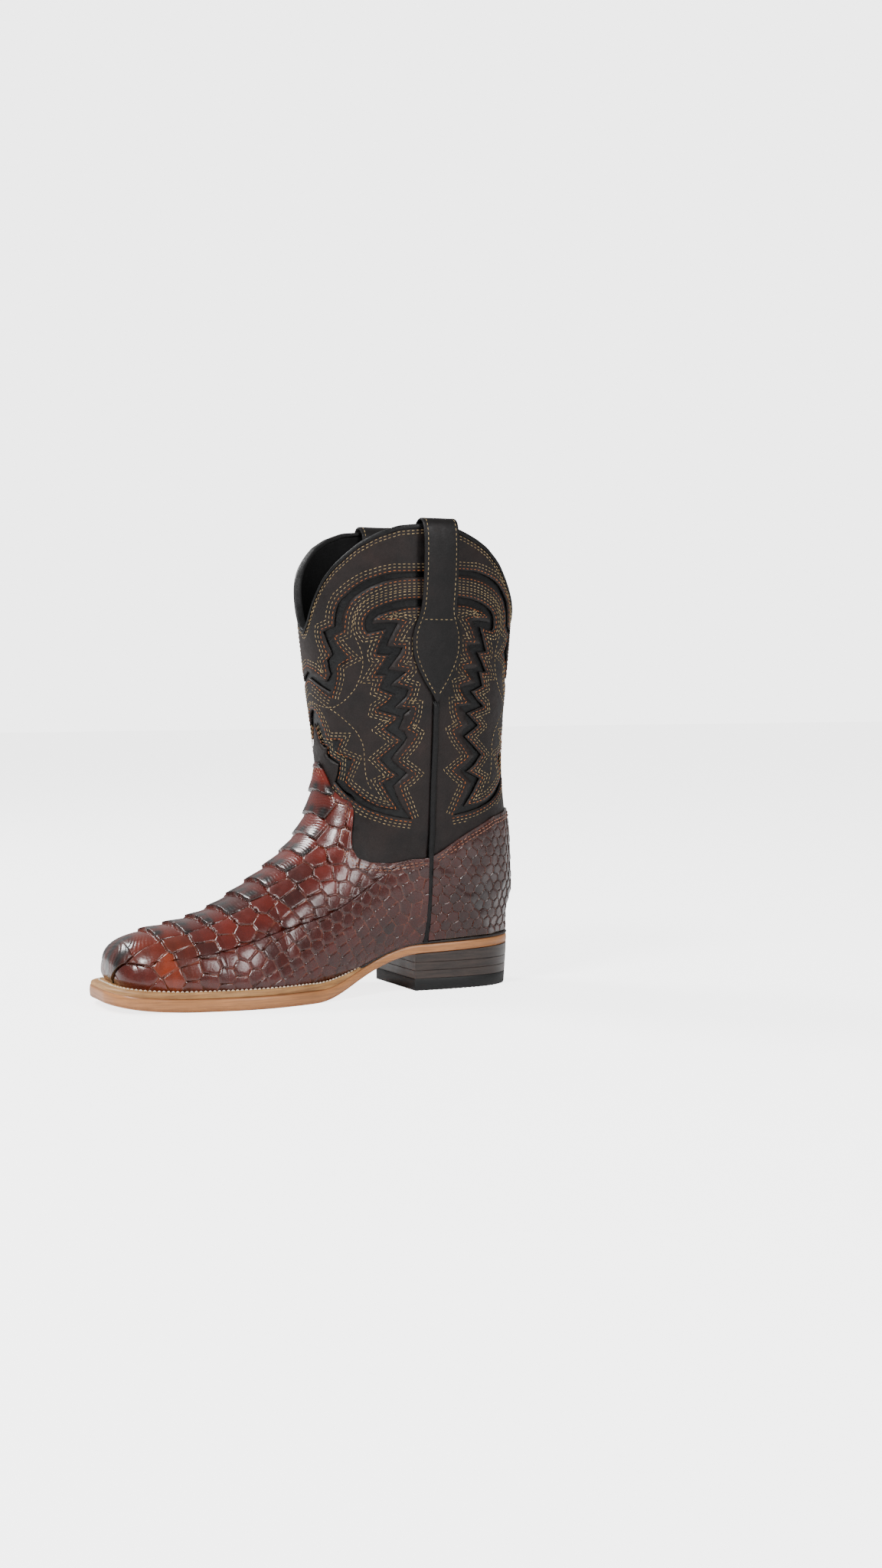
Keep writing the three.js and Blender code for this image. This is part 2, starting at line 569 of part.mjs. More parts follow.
function addInsole() {
  const room = bootBody(liningInside - gap, 10);
  const board = plate(inset(-liningInside), insoleBottom, insoleTop).intersect(room);
  add('insole', drilled(board, nailHoles), 0xc8a070, 0.85);
  const low = (y) => insoleTop(y) + gap;
  const sock = plate(inset(-liningInside), low, (y) => low(y) + sockThickness).intersect(room);
  add('sock_liner', sock, 0x2a2422, 0.85);
}

function addRibAndFiller() {
  const ribBack = ballY + ribEnd;
  const ribInside = ribInset + ribWidth;
  const low = (y) => soleTop(y) + gap;
  const high = (y) => insoleBottom(y) - gap;
  const rib = plate(inset(ribInset), low, high, -Infinity, ribBack)
    .subtract(plate(inset(ribInside), (y) => low(y) - 5, (y) => high(y) + 5, -Infinity, ribBack + 1));
  add('insole_rib', rib, 0xd8cbb0, 0.9);
  add('cork_filler', plate(inset(ribInside + fillerGap), low, high, -Infinity, shankFront - 1), 0x9b7a50, 0.95);
}

function addShank() {
  const middle = (y) => (lastPlan.edge(1, y) + lastPlan.edge(-1, y)) / 2;
  const plan = { edge: (side, y) => middle(y) + side * shankWidth / 2, front: shankFront, back: shankBack };
  const low = (y) => soleTop(y) + gap;
  add('steel_shank', plate(plan, low, (y) => low(y) + shankThickness, shankFront, shankBack, 24), 0x8a8d90, 0.35, 1);
}

const weltBack = ballY + weltEnd;
function addWeltAndRand() {
  const low = (y) => soleTop(y) + gap;
  const ring = (from, to, depth, plan) => plate(plan, low, feather, from, to)
    .subtract(plate(inset(depth), (y) => low(y) - 5, (y) => feather(y) + 5, from - 1, to + 1));
  const trimmedBy = (distance) => {
    const edge = (side, y) => solePlan.edge(side, y) - side * distance;
    return { edge, front: solePlan.front + distance, back: solePlan.back - distance };
  };
  add('welt', ring(-Infinity, weltBack, weltReach, trimmedBy(0.5)), 0xd7b48c, 0.6);
  add('heel_rand', ring(weltBack + gap, Infinity, weltReach, outline(() => waistEdge - 0.3)), 0x1e1512, 0.5);
}

function addOutsole() {
  const sole = plate(solePlan, soleBottom, soleTop, -Infinity, Infinity, 44);
  const holes = [...pegs.map((peg) => pegSolid(peg, holeClearance)), ...nailHoles];
  add('outsole', drilled(sole, holes), 0xc98a5a, 0.5);
  pegs.forEach((peg) => add(peg.name, pegSolid(peg), 0x3a2416, 0.8));
}

function addHeel() {
  const total = soleBottom(breastY);
  const liftThickness = (total - topLiftThickness) / liftCount;
  const heelPlan = (z) => {
    const shrink = heelTaper * (1 - z / total);
    const edge = (side, y) => solePlan.edge(side, y + shrink) - side * shrink;
    return { edge, front: breastY, back: solePlan.back - shrink };
  };
  const slice = (z0, z1, top) => plate(heelPlan((z0 + z1) / 2), () => z0, top ?? (() => z1), breastY, Infinity, 30);
  add('top_lift', drilled(slice(0, topLiftThickness), [...nailHoles, ...openHeads]), 0x1b1c1e, 0.7);
  for (let k = 0; k < liftCount; k += 1) {
    const z0 = topLiftThickness + k * liftThickness + gap;
    const top = k === liftCount - 1 ? (y) => soleBottom(y) - gap : undefined;
    const lift = slice(z0, topLiftThickness + (k + 1) * liftThickness, top);
    add(`heel_lift_${k + 1}`, drilled(lift, nailHoles), 0x6b5a50, 0.7);
  }
  [...seatNails, ...liftNails].forEach((nail) => add(nail.name, nailSolid(nail), 0x9a9c9f, 0.35, 1));
}

addVampAndCounter();
addShaft();
addInlays();
addPiping();
addBinding();
addStrap('pull_strap_medial', 1);
addStrap('pull_strap_lateral', -1);
addLinings();
addStiffeners();
addInsole();
addRibAndFiller();
addShank();
addWeltAndRand();
addOutsole();
addHeel();

const boot = new THREE.Group();
boot.add(...pieces);
export default boot;
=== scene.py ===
# A square-toe cowboy boot in python and dark leather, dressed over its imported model.
# Sizes below are in millimetres; meshes are written in metres.
import math
import bpy
from mathutils.bvhtree import BVHTree
import numpy as np
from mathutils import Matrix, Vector, geometry


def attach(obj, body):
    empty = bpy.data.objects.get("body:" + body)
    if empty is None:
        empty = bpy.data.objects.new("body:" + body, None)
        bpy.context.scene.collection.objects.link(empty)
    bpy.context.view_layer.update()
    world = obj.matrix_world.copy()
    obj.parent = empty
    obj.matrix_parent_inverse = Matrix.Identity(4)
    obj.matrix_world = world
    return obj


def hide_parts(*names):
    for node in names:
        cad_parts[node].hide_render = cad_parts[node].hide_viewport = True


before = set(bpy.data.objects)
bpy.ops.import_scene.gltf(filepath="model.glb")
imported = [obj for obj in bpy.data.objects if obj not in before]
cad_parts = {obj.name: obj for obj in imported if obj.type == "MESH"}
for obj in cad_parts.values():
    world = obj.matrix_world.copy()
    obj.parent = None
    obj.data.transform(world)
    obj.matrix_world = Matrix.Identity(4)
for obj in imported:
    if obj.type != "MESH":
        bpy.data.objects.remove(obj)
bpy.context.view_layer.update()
print("boot: frame loaded,", len(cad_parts), "nodes")

mm = 0.001
seamY = -27.0
ballY = -114.0
breastY = -34.0


# ---- curves and the boot's surface ----
def ease(t):
    # smooth step from 0 to 1
    t = np.clip(t, 0.0, 1.0)
    return t * t * (3 - 2 * t)


def mix(a, b, t):
    return a + (b - a) * t


def spline(rows, t):
    # uniform cubic B-spline through control rows, its ends carried straight on
    rows = np.asarray(rows, float)
    last = len(rows) - 1
    q = np.vstack([2 * rows[0] - rows[1], rows, 2 * rows[-1] - rows[-2]])
    place = np.clip(np.asarray(t, float), 0, 1) * last
    i = np.minimum(place.astype(int), last - 1)
    f = (place - i)[..., None]
    return (q[i] * (1 - f) ** 3 + q[i + 1] * (3 * f**3 - 6 * f**2 + 4)
            + q[i + 2] * (-3 * f**3 + 3 * f**2 + 3 * f + 1) + q[i + 3] * f**3) / 6


def soleBottom(y):
    # ground line: flat tread, rising to the heel height behind the ball, and a little at the toe
    y = np.asarray(y, float)
    return (25 * ease((y - ballY) / 84) + 0.035 * np.maximum(y - breastY, 0)
            + 5 * np.clip((-195 - y) / 50, 0, 1.3) ** 2)


def soleTop(y):
    return soleBottom(y) + mix(8.5, 6.5, ease((y - ballY + 10) / 60))


def feather(y):
    # where the upper meets the sole: a welt's thickness up in front, a rand's behind
    return soleTop(y) + mix(4.0, 1.5, ease((y - ballY - 5) / 45))


innerLast = [[21, -234], [32, -231.5], [40, -220], [46, -200], [52, -174], [54.5, -148], [48, -118],
             [37, -90], [30.5, -65], [29.5, -42], [31.5, -20], [32.5, 5], [29.5, 25], [21, 38],
             [10.5, 43.7], [0, 44.5]]
outerLast = [[-6, -234], [-16, -231.5], [-25, -220], [-32, -200], [-39, -172], [-43.5, -142], [-42.5, -112],
             [-38, -86], [-34, -60], [-32.5, -40], [-32.5, -20], [-32.5, 5], [-29.5, 25], [-21, 38],
             [-10.5, 43.7], [0, 44.5]]
lastDense = {1: spline(innerLast, np.linspace(0, 1, 900)), -1: spline(outerLast, np.linspace(0, 1, 900))}


def lastEdge(side, y):
    curve = lastDense[side]
    return np.interp(y, np.maximum.accumulate(curve[:, 1] + np.arange(900) * 1e-7), curve[:, 0])


def soleEdgeWidth(y):
    # how far the sole stands out: wide round the forefoot, widest at the toe, close at the waist
    return mix(6.5, 1.5, ease((y - ballY - 5) / 45)) + 5.5 * ease((-205 - y) / 30)


rings = [(-234, None, -234, None, 21, 6), (-236, 25, -233.3, None, 25, 13), (-235, 33, -230, None, 32, 21),
         (-228, 40.5, -224, None, 37.5, 27), (-213, 46, -210, None, 44, 34),
         (-190, 49.5, -188, None, 49.5, 40), (-166, 56, -165, None, 53, 44.5),
         (-145, 69, -141, None, 52.5, 47.5), (-126, 81.5, -117, None, 48, 48),
         (-110, 94, -93, None, 43.5, 46), (-98.5, 107.5, -69, None, 40, 43),
         (-93, 121, -45, None, 38.5, 40), (-91, 133, -21, None, 38.5, 39),
         (-90.3, 143, 3, None, 39.5, 39.5), (-90.5, 153, 25, None, 41, 41),
         (-91.5, 163, 42.5, None, 42.5, 42.5), (-92.5, 173, 49, 57, 43.5, 43.5),
         (-94, 183, 50, 82, 44.5, 44.5), (-95.5, 194, 45.5, 108, 46, 46), (-97, 206, 41.5, 134, 47.5, 47.5),
         (-98.5, 220, 41, 163, 49, 49), (-100.5, 237, 43.5, 195, 50.5, 50.5),
         (-103, 258, 47, 230, 51.5, 51.5), (-105.5, 284, 50, 270, 52, 52),
         (-107.5, 315, 52, 315, 52.5, 52.5)]
ringRows = np.array([(fy, feather(fy) if fz is None else fz, by, feather(by) if bz is None else bz, wi, wo)
                     for fy, fz, by, bz, wi, wo in rings], float)
topRow = len(rings) - 1


def ringPoint(row, turn):
    # slanted rings round the boot: row counts them from the toe up, and
    # turn runs from -1 (outer side) over 0 (front) to 1 (inner side)
    row, turn = np.broadcast_arrays(np.asarray(row, float), np.asarray(turn, float))
    s = spline(ringRows, row / topRow)
    fy, fz, by, bz, inner, outer = [s[..., k] for k in range(6)]
    side = np.where(turn < 0, -1.0, 1.0)
    onFoot = row < 15.8
    innerFoot = np.where(onFoot, lastEdge(1, by), 0)
    outerFoot = np.where(onFoot, lastEdge(-1, by), 0)
    middle = (innerFoot + outerFoot) / 2 * (1 - ease((row - 9) / 6))
    half = np.abs(np.where(side > 0, innerFoot, outerFoot) - middle)
    width = np.maximum(np.where(side > 0, inner - middle, outer + middle), half)
    end = np.pi - np.arcsin(np.minimum(half / width, 0.9999) ** (1 / 0.9))
    shift = np.abs(np.cos(end)) / (1 + np.abs(np.cos(end)))
    angle = np.abs(turn) * end
    share = shift + (1 - shift) * np.cos(angle)
    x = middle + side * width * np.maximum(np.sin(angle), 0) ** 0.9
    return np.stack([x, mix(by, fy, share), mix(bz, fz, share)], -1)


heelBand = (15.1, 16.5)


def surface(row, turn):
    # the rings, bridged by one smooth cubic where they leave the sole and begin to close behind the heel
    row, turn = np.broadcast_arrays(np.asarray(row, float), np.asarray(turn, float))
    low, high = heelBand
    point = ringPoint(row, turn)
    band = (row > low) & (row < high)
    if not band.any():
        return point
    t = ((row[band] - low) / (high - low))[:, None]
    a, b = ringPoint(low, turn[band]), ringPoint(high, turn[band])
    leaving = (ringPoint(high + 0.1, turn[band]) - b) / 0.1 * (high - low)
    point = point.copy()
    point[band] = (a * (2 * t**3 - 3 * t**2 + 1) + (b - a) * (t**3 - 2 * t**2 + t)
                   + b * (3 * t**2 - 2 * t**3) + leaving * (t**3 - t**2))
    return point


def unit(v):
    return v / np.maximum(np.linalg.norm(v, axis=-1, keepdims=True), 1e-12)


def surfaceNormal(row, turn):
    # cross product of the way round the ring and the way up the rings
    row, turn = np.broadcast_arrays(np.asarray(row, float), np.asarray(turn, float))
    row = np.maximum(row, 0.4)
    step = 1e-3
    r0, r1 = np.maximum(row - 0.02, 0), np.minimum(row + 0.02, topRow)
    t0, t1 = np.clip(turn - step, -1, 1), np.clip(turn + step, -1, 1)
    n = np.cross(surface(row, t1) - surface(row, t0), surface(r1, turn) - surface(r0, turn))
    flat = (turn == 0) | ((row >= 15.8) & (np.abs(turn) > 0.9999))
    n[..., 0] = np.where(flat, 0, n[..., 0])
    return unit(n)


# A table of the leg by height and by the way round:
# 0 at the front centre, 100 at the side seam, 200 at the back.
legHeights = np.arange(80, 315, 1.0)
legWays = np.arange(0, 200.1, 0.5)
tableTurns = np.linspace(0, 1, 241)
legTable, wayTable = {}, {}
for side in (1, -1):
    web = surface(np.linspace(6, 24, 720)[:, None], side * tableTurns[None, :])
    cut = np.empty((len(legHeights), len(tableTurns), 2))
    for column in range(len(tableTurns)):
        rising = np.maximum.accumulate(web[:, column, 2])
        cut[:, column, 0] = np.interp(legHeights, rising, web[:, column, 0])
        cut[:, column, 1] = np.interp(legHeights, rising, web[:, column, 1])
    walked = np.concatenate([np.zeros((len(legHeights), 1)),
                             np.cumsum(np.linalg.norm(np.diff(cut, axis=1), axis=2), axis=1)], axis=1)
    ways = np.empty_like(walked)
    legXY = np.empty((len(legHeights), len(legWays), 2))
    for level in range(len(legHeights)):
        atSeam = np.interp(seamY, np.maximum.accumulate(cut[level, :, 1]), walked[level])
        total = walked[level, -1]
        d = walked[level]
        ways[level] = np.where(d < atSeam, d / atSeam * 100, 100 + (d - atSeam) / (total - atSeam) * 100)
        for axis in (0, 1):
            legXY[level, :, axis] = np.interp(legWays, ways[level], cut[level, :, axis])
    legTable[side] = np.concatenate([legXY,
                                     np.broadcast_to(legHeights[:, None, None], legXY.shape[:2] + (1,))], -1)
    wayTable[side] = ways
legNormals = {}
for side in (1, -1):
    n = np.cross(np.gradient(legTable[side], axis=1), np.gradient(legTable[side], axis=0)) * side
    n[:, [0, -1], 0] = 0
    legNormals[side] = unit(n)


def lookup(table, i, j):
    # bilinear reading of a table at fractional places
    i, j = np.clip(i, 0, table.shape[0] - 1.001), np.clip(j, 0, table.shape[1] - 1.001)
    a, b = i.astype(int), j.astype(int)
    f, g = i - a, j - b
    if table.ndim == 3:
        f, g = f[..., None], g[..., None]
    return ((table[a, b] * (1 - f) + table[a + 1, b] * f) * (1 - g)
            + (table[a, b + 1] * (1 - f) + table[a + 1, b + 1] * f) * g)


def legFrame(way, height):
    # a place on the leg and its outward direction; way is signed, positive on the inner side
    way, height = np.broadcast_arrays(np.asarray(way, float), np.asarray(height, float))
    i, j = height - legHeights[0], np.abs(way) * 2
    inner = (way >= 0)[..., None]
    place = np.where(inner, lookup(legTable[1], i, j), lookup(legTable[-1], i, j))
    out = np.where(inner, lookup(legNormals[1], i, j), lookup(legNormals[-1], i, j))
    place[..., 2] = height
    return place, unit(out)


def legPoint(way, height, out):
    place, normal = legFrame(way, height)
    return place + normal * np.asarray(out, float)[..., None]


def wayOf(points, turn):
    # the way round of points whose turn is known
    i, j = points[..., 2] - legHeights[0], np.abs(turn) * (len(tableTurns) - 1)
    return np.where(turn >= 0, lookup(wayTable[1], i, j), lookup(wayTable[-1], i, j))


topLine = np.array([(0, 240.2), (4, 242.7), (8, 246.7), (17.5, 262.2), (25, 273.2), (33, 282.2),
                    (42, 290.2), (50, 296.7), (62, 303.2), (75, 307.7), (90, 309.2), (102, 309.2),
                    (112, 307.2), (120, 304.2), (130, 299.7), (138, 295.2), (150, 285.7), (165, 268.7),
                    (180, 253.7), (192, 244.7), (200, 242.7)])
upperLine = np.array([(0, 153.7), (5, 152.2), (8, 149.7), (13.5, 144.2), (18, 138.2), (22, 134.7),
                      (29, 130.2), (36.5, 127.7), (40, 122.7), (41.5, 113.7), (43, 105.7), (46.5, 97.2),
                      (52, 91.2), (61, 88.2), (75, 87.2), (89, 89.7), (100, 91.2), (104, 93.2),
                      (118, 101.7), (126.5, 106.2), (139, 111.2), (150, 115.7), (175, 119.7), (200, 120.7)])


def smoothLine(points, spread):
    # a polyline read at every half step and softened with a small moving average
    way = np.arange(0, 200.1, 0.5)
    height = np.interp(way, points[:, 0], points[:, 1])
    kernel = np.hanning(spread) / np.hanning(spread).sum()
    padded = np.concatenate([height[spread // 2:0:-1], height, height[-2:-spread // 2 - 2:-1]])
    soft = np.convolve(padded, kernel, "same")[spread // 2:spread // 2 + len(height)]
    return lambda w: np.interp(np.abs(w), way, soft)


topEdge = smoothLine(topLine, 13)
upperEdge = smoothLine(upperLine, 7)
print("boot: leg table ready")


# ---- meshes ----
def bag(name, points, faces, material, stands=(), smooth=True, colours=None, facing=None, more=()):
    # puts arrays into a mesh, turns its faces outward, and gives it to the boot's body
    points = np.asarray(points, float).reshape(-1, 3)
    faces = np.asarray(faces, int)
    corners = points[faces]
    across = np.cross(corners[:, 2] - corners[:, 0], corners[:, -1] - corners[:, 1]
                      if faces.shape[1] == 4 else corners[:, 1] - corners[:, 0])
    if faces.shape[1] == 3:
        across = -across
    if facing is not None:
        wrong = np.sum(across * facing.reshape(-1, 3)[faces].mean(axis=1)) < 0
    else:
        wrong = np.sum(across * corners.mean(axis=1)) < 0
    if wrong:
        faces = faces[:, ::-1]
    mesh = bpy.data.meshes.new(name)
    mesh.vertices.add(len(points))
    mesh.vertices.foreach_set("co", (points * mm).astype(np.float32).ravel())
    mesh.loops.add(faces.size)
    mesh.loops.foreach_set("vertex_index", faces.astype(np.int32).ravel())
    mesh.polygons.add(len(faces))
    mesh.polygons.foreach_set("loop_start", (np.arange(len(faces)) * faces.shape[1]).astype(np.int32))
    mesh.update(calc_edges=True)
    mesh.validate()
    if smooth:
        mesh.shade_smooth()
    if colours is not None:
        layer = mesh.color_attributes.new("tint", "FLOAT_COLOR", "POINT")
        rgba = np.ones((len(points), 4), np.float32)
        rgba[:, :3] = colours.reshape(-1, 3)
        layer.data.foreach_set("color", rgba.ravel())
    piece = bpy.data.objects.new(name, mesh)
    bpy.context.scene.collection.objects.link(piece)
    for each in [material, *more]:
        mesh.materials.append(each)
    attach(piece, "root")
    if stands:
        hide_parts(*stands)
    return piece


def gridFaces(rows, columns, aroundRows=False, aroundColumns=False):
    i = np.arange(rows if aroundRows else rows - 1)[:, None]
    j = np.arange(columns if aroundColumns else columns - 1)[None, :]
    a, b = i * columns + j, i * columns + (j + 1) % columns
    c, d = ((i + 1) % rows) * columns + (j + 1) % columns, ((i + 1) % rows) * columns + j
    return np.stack(np.broadcast_arrays(a, b, c, d), -1).reshape(-1, 4)


def tube(loops):
    # a closed skin through rings of points, with a fan-like cap of quads folded over each end
    rows, columns = loops.shape[:2]
    middle0, middle1 = loops[0].mean(axis=0), loops[-1].mean(axis=0)
    points = np.concatenate([np.broadcast_to(middle0, (1, columns, 3)), loops,
                             np.broadcast_to(middle1, (1, columns, 3))])
    return points.reshape(-1, 3), gridFaces(rows + 2, columns, aroundColumns=True)


# ---- materials ----
def newMaterial(name, colour, roughness, metallic=0.0, specular=0.5, coat=0.0, coatRoughness=0.2, sheen=0.0):
    material = bpy.data.materials.new(name)
    material.use_nodes = True
    tree = material.node_tree
    shader = tree.nodes["Principled BSDF"]
    shader.inputs["Base Color"].default_value = (*colour, 1)
    shader.inputs["Roughness"].default_value = roughness
    shader.inputs["Metallic"].default_value = metallic
    shader.inputs["Specular IOR Level"].default_value = specular
    shader.inputs["Coat Weight"].default_value = coat
    shader.inputs["Coat Roughness"].default_value = coatRoughness
    shader.inputs["Sheen Weight"].default_value = sheen
    return material, tree, shader


def rgb(r, g, b):
    # screen colour, 0 to 255, as linear light
    c = np.array([r, g, b]) / 255
    return tuple(float(v) for v in np.where(c <= 0.04045, c / 12.92, ((c + 0.055) / 1.055) ** 2.4))


def node(tree, kind, **values):
    made = tree.nodes.new(kind)
    for key, value in values.items():
        setattr(made, key, value)
    return made


def link(tree, start, end):
    tree.links.new(start, end)


def objectPlace(tree, stretch=(1, 1, 1)):
    place = node(tree, "ShaderNodeTexCoord")
    mapping = node(tree, "ShaderNodeMapping")
    mapping.inputs["Scale"].default_value = stretch
    link(tree, place.outputs["Object"], mapping.inputs["Vector"])
    return mapping.outputs["Vector"]


def noiseOf(tree, place, scale, detail=3.0, rough=0.55):
    made = node(tree, "ShaderNodeTexNoise")
    made.inputs["Scale"].default_value = scale
    made.inputs["Detail"].default_value = detail
    made.inputs["Roughness"].default_value = rough
    link(tree, place, made.inputs["Vector"])
    return made.outputs["Fac"]


def rampOf(tree, source, stops):
    made = node(tree, "ShaderNodeValToRGB")
    ramp = made.color_ramp
    while len(ramp.elements) < len(stops):
        ramp.elements.new(0.5)
    for element, (place, colour) in zip(ramp.elements, stops):
        element.position = place
        element.color = (*colour, 1)
    link(tree, source, made.inputs["Fac"])
    return made.outputs["Color"]


def bumpOf(tree, height, depth, strength=1.0, before=None):
    made = node(tree, "ShaderNodeBump")
    made.inputs["Strength"].default_value = strength
    made.inputs["Distance"].default_value = depth
    link(tree, height, made.inputs["Height"])
    if before is not None:
        link(tree, before, made.inputs["Normal"])
    return made.outputs["Normal"]


def grey(value):
    return (value, value, value)


def leather(name, light, dark, roughness, grain=1500, grainDepth=0.00006, patch=45, tint=False,
            wrinkle=0.0002,
            specular=0.5, coat=0.0, coatRoughness=0.25, roughSpread=0.1, pale=None, sheen=0.0):
    # pebbled grain from small cells, broad cloudy colour, and soft wrinkles
    material, tree, shader = newMaterial(name, light, roughness, specular=specular, coat=coat,
                                         coatRoughness=coatRoughness, sheen=sheen)
    place = objectPlace(tree)
    cloud = noiseOf(tree, place, patch, 4.0, 0.6)
    stops = [(0.32, dark), (0.62, light)]
    if pale is not None:
        stops.append((0.8, pale))
    colour = rampOf(tree, cloud, stops)
    if tint:
        attribute = node(tree, "ShaderNodeAttribute", attribute_name="tint")
        blend = node(tree, "ShaderNodeMix", data_type="RGBA", blend_type="MULTIPLY")
        blend.inputs["Factor"].default_value = 1.0
        link(tree, attribute.outputs["Color"], blend.inputs[6])
        link(tree, rampOf(tree, cloud, [(0.3, grey(0.72)), (0.7, grey(1.12))]), blend.inputs[7])
        colour = blend.outputs[2]
    link(tree, colour, shader.inputs["Base Color"])
    cells = node(tree, "ShaderNodeTexVoronoi")
    cells.inputs["Scale"].default_value = grain
    link(tree, place, cells.inputs["Vector"])
    fold = noiseOf(tree, place, 260, 5.0, 0.6)
    first = bumpOf(tree, fold, wrinkle, 0.6)
    second = bumpOf(tree, cells.outputs["Distance"], grainDepth, 0.8, first)
    link(tree, second, shader.inputs["Normal"])
    link(tree, rampOf(tree, noiseOf(tree, place, 180, 3.0), [(0.3, grey(roughness - roughSpread)),
                                                          (0.7, grey(roughness + roughSpread))]),
         shader.inputs["Roughness"])
    return material


shaftSkin = leather("shaftLeather", rgb(31, 22, 20), rgb(15, 11, 11), 0.5, patch=38, pale=rgb(44, 31, 28),
                    wrinkle=0.00035, specular=0.3)
inlaySkin = leather("inlayLeather", rgb(5, 5, 6), rgb(2, 2, 3), 0.34, grain=900, grainDepth=0.00005,
                    wrinkle=0.0005, specular=0.35)
trimSkin = leather("trimLeather", rgb(12, 11, 12), rgb(5, 5, 6), 0.45, patch=60, wrinkle=0.0004, specular=0.3,
                   pale=rgb(22, 19, 19))
strapSkin = leather("strapLeather", rgb(17, 13, 13), rgb(7, 6, 6), 0.48, grain=1100, grainDepth=0.00008,
                    patch=70, wrinkle=0.0005, specular=0.3, pale=rgb(30, 23, 21))
edgeSkin = leather("cutEdge", rgb(54, 47, 45), rgb(26, 23, 22), 0.7, patch=400, specular=0.3)
liningSkin = leather("liningLeather", rgb(8, 7, 8), rgb(3, 3, 3), 0.65, patch=60, specular=0.2)
footSkin = leather("footLining", rgb(96, 74, 56), rgb(66, 48, 36), 0.75, patch=50, specular=0.3)
scaleSkin = leather("pythonLeather", rgb(120, 56, 34), rgb(70, 34, 22), 0.27, grain=700, grainDepth=0.00005,
                    tint=True, wrinkle=0.0003, specular=0.5, coat=0.35, coatRoughness=0.12, roughSpread=0.08)
boardSkin = leather("stiffenerBoard", rgb(186, 164, 132), rgb(150, 128, 98), 0.9, specular=0.2)
corkSkin = leather("corkGrain", rgb(156, 122, 80), rgb(104, 74, 46), 0.95, grain=600, specular=0.15)
insoleSkin = leather("insoleLeather", rgb(202, 164, 118), rgb(168, 128, 84), 0.8, specular=0.25)
randSkin = leather("randLeather", rgb(38, 28, 24), rgb(22, 17, 15), 0.45, specular=0.5)
pegSkin = leather("pegWood", rgb(64, 42, 28), rgb(38, 24, 16), 0.8, specular=0.2)


def grainyEdge(name, light, dark, roughness, lines=700, across=(0.06, 0.06, 1), coat=0.0, ridges=0.00012):
    # stacked leather seen on its cut edge: fine lines that run level round the boot
    material, tree, shader = newMaterial(name, light, roughness, coat=coat, coatRoughness=0.3)
    level = noiseOf(tree, objectPlace(tree, across), lines, 4.0, 0.7)
    patch = noiseOf(tree, objectPlace(tree), 60, 4.0)
    lined = rampOf(tree, level, [(0.36, dark), (0.6, light)])
    cloud = rampOf(tree, patch, [(0.3, grey(0.75)), (0.7, grey(1.15))])
    blend = node(tree, "ShaderNodeMix", data_type="RGBA", blend_type="MULTIPLY")
    blend.inputs["Factor"].default_value = 1.0
    link(tree, lined, blend.inputs[6])
    link(tree, cloud, blend.inputs[7])
    link(tree, blend.outputs[2], shader.inputs["Base Color"])
    link(tree, bumpOf(tree, level, ridges, 0.7), shader.inputs["Normal"])
    link(tree, rampOf(tree, patch, [(0.3, grey(roughness - 0.1)), (0.7, grey(roughness + 0.1))]),
         shader.inputs["Roughness"])
    return material


edgeWelt = grainyEdge("weltLeather", rgb(186, 140, 88), rgb(146, 100, 56), 0.55, 420)
heelSkin = grainyEdge("heelLeather", rgb(58, 46, 40), rgb(34, 26, 23), 0.4, 620, coat=0.2)


def soleLeather():
    # smooth peach bottom, browner on its burnished upright edge, told apart by the tint
    material, tree, shader = newMaterial("soleLeather", rgb(225, 150, 100), 0.4, coat=0.15, coatRoughness=0.3)
    attribute = node(tree, "ShaderNodeAttribute", attribute_name="tint")
    place = objectPlace(tree)
    cloud = rampOf(tree, noiseOf(tree, place, 30, 5.0, 0.6), [(0.3, grey(0.82)), (0.7, grey(1.08))])
    lines = rampOf(tree, noiseOf(tree, objectPlace(tree, (0.05, 0.05, 1)), 900, 4.0, 0.7),
                   [(0.35, grey(0.72)), (0.6, grey(1.05))])
    first = node(tree, "ShaderNodeMix", data_type="RGBA", blend_type="MULTIPLY")
    second = node(tree, "ShaderNodeMix", data_type="RGBA", blend_type="MULTIPLY")
    for each in (first, second):
        each.inputs["Factor"].default_value = 1.0
    link(tree, attribute.outputs["Color"], first.inputs[6])
    link(tree, cloud, first.inputs[7])
    link(tree, first.outputs[2], second.inputs[6])
    link(tree, lines, second.inputs[7])
    link(tree, second.outputs[2], shader.inputs["Base Color"])
    link(tree, bumpOf(tree, noiseOf(tree, place, 500, 4.0), 0.0001, 0.5), shader.inputs["Normal"])
    return material


soleSkin = soleLeather()


def threadMaterial(name, light, dark):
    material, tree, shader = newMaterial(name, light, 0.65, specular=0.4, sheen=0.2)
    place = objectPlace(tree)
    link(tree, rampOf(tree, noiseOf(tree, place, 160, 3.0), [(0.35, dark), (0.65, light)]),
         shader.inputs["Base Color"])
    link(tree, bumpOf(tree, noiseOf(tree, place, 5000, 2.0), 0.00008, 0.8), shader.inputs["Normal"])
    return material


creamThread = threadMaterial("creamThread", rgb(176, 150, 104), rgb(120, 98, 62))
goldThread = threadMaterial("goldThread", rgb(178, 96, 30), rgb(120, 60, 18))
whiteThread = threadMaterial("weltThread", rgb(236, 222, 200), rgb(205, 184, 156))
brownThread = threadMaterial("vampThread", rgb(170, 112, 84), rgb(120, 72, 52))


def ironMaterial(name, colour, roughness):
    material, tree, shader = newMaterial(name, colour, roughness, metallic=1.0)
    place = objectPlace(tree)
    spread = [(0.3, grey(roughness - 0.12)), (0.7, grey(roughness + 0.12))]
    link(tree, rampOf(tree, noiseOf(tree, place, 900, 3.0), spread), shader.inputs["Roughness"])
    link(tree, bumpOf(tree, noiseOf(tree, place, 2500, 3.0), 0.00004, 0.5), shader.inputs["Normal"])
    return material


steelMetal = ironMaterial("nailSteel", rgb(170, 172, 176), 0.32)


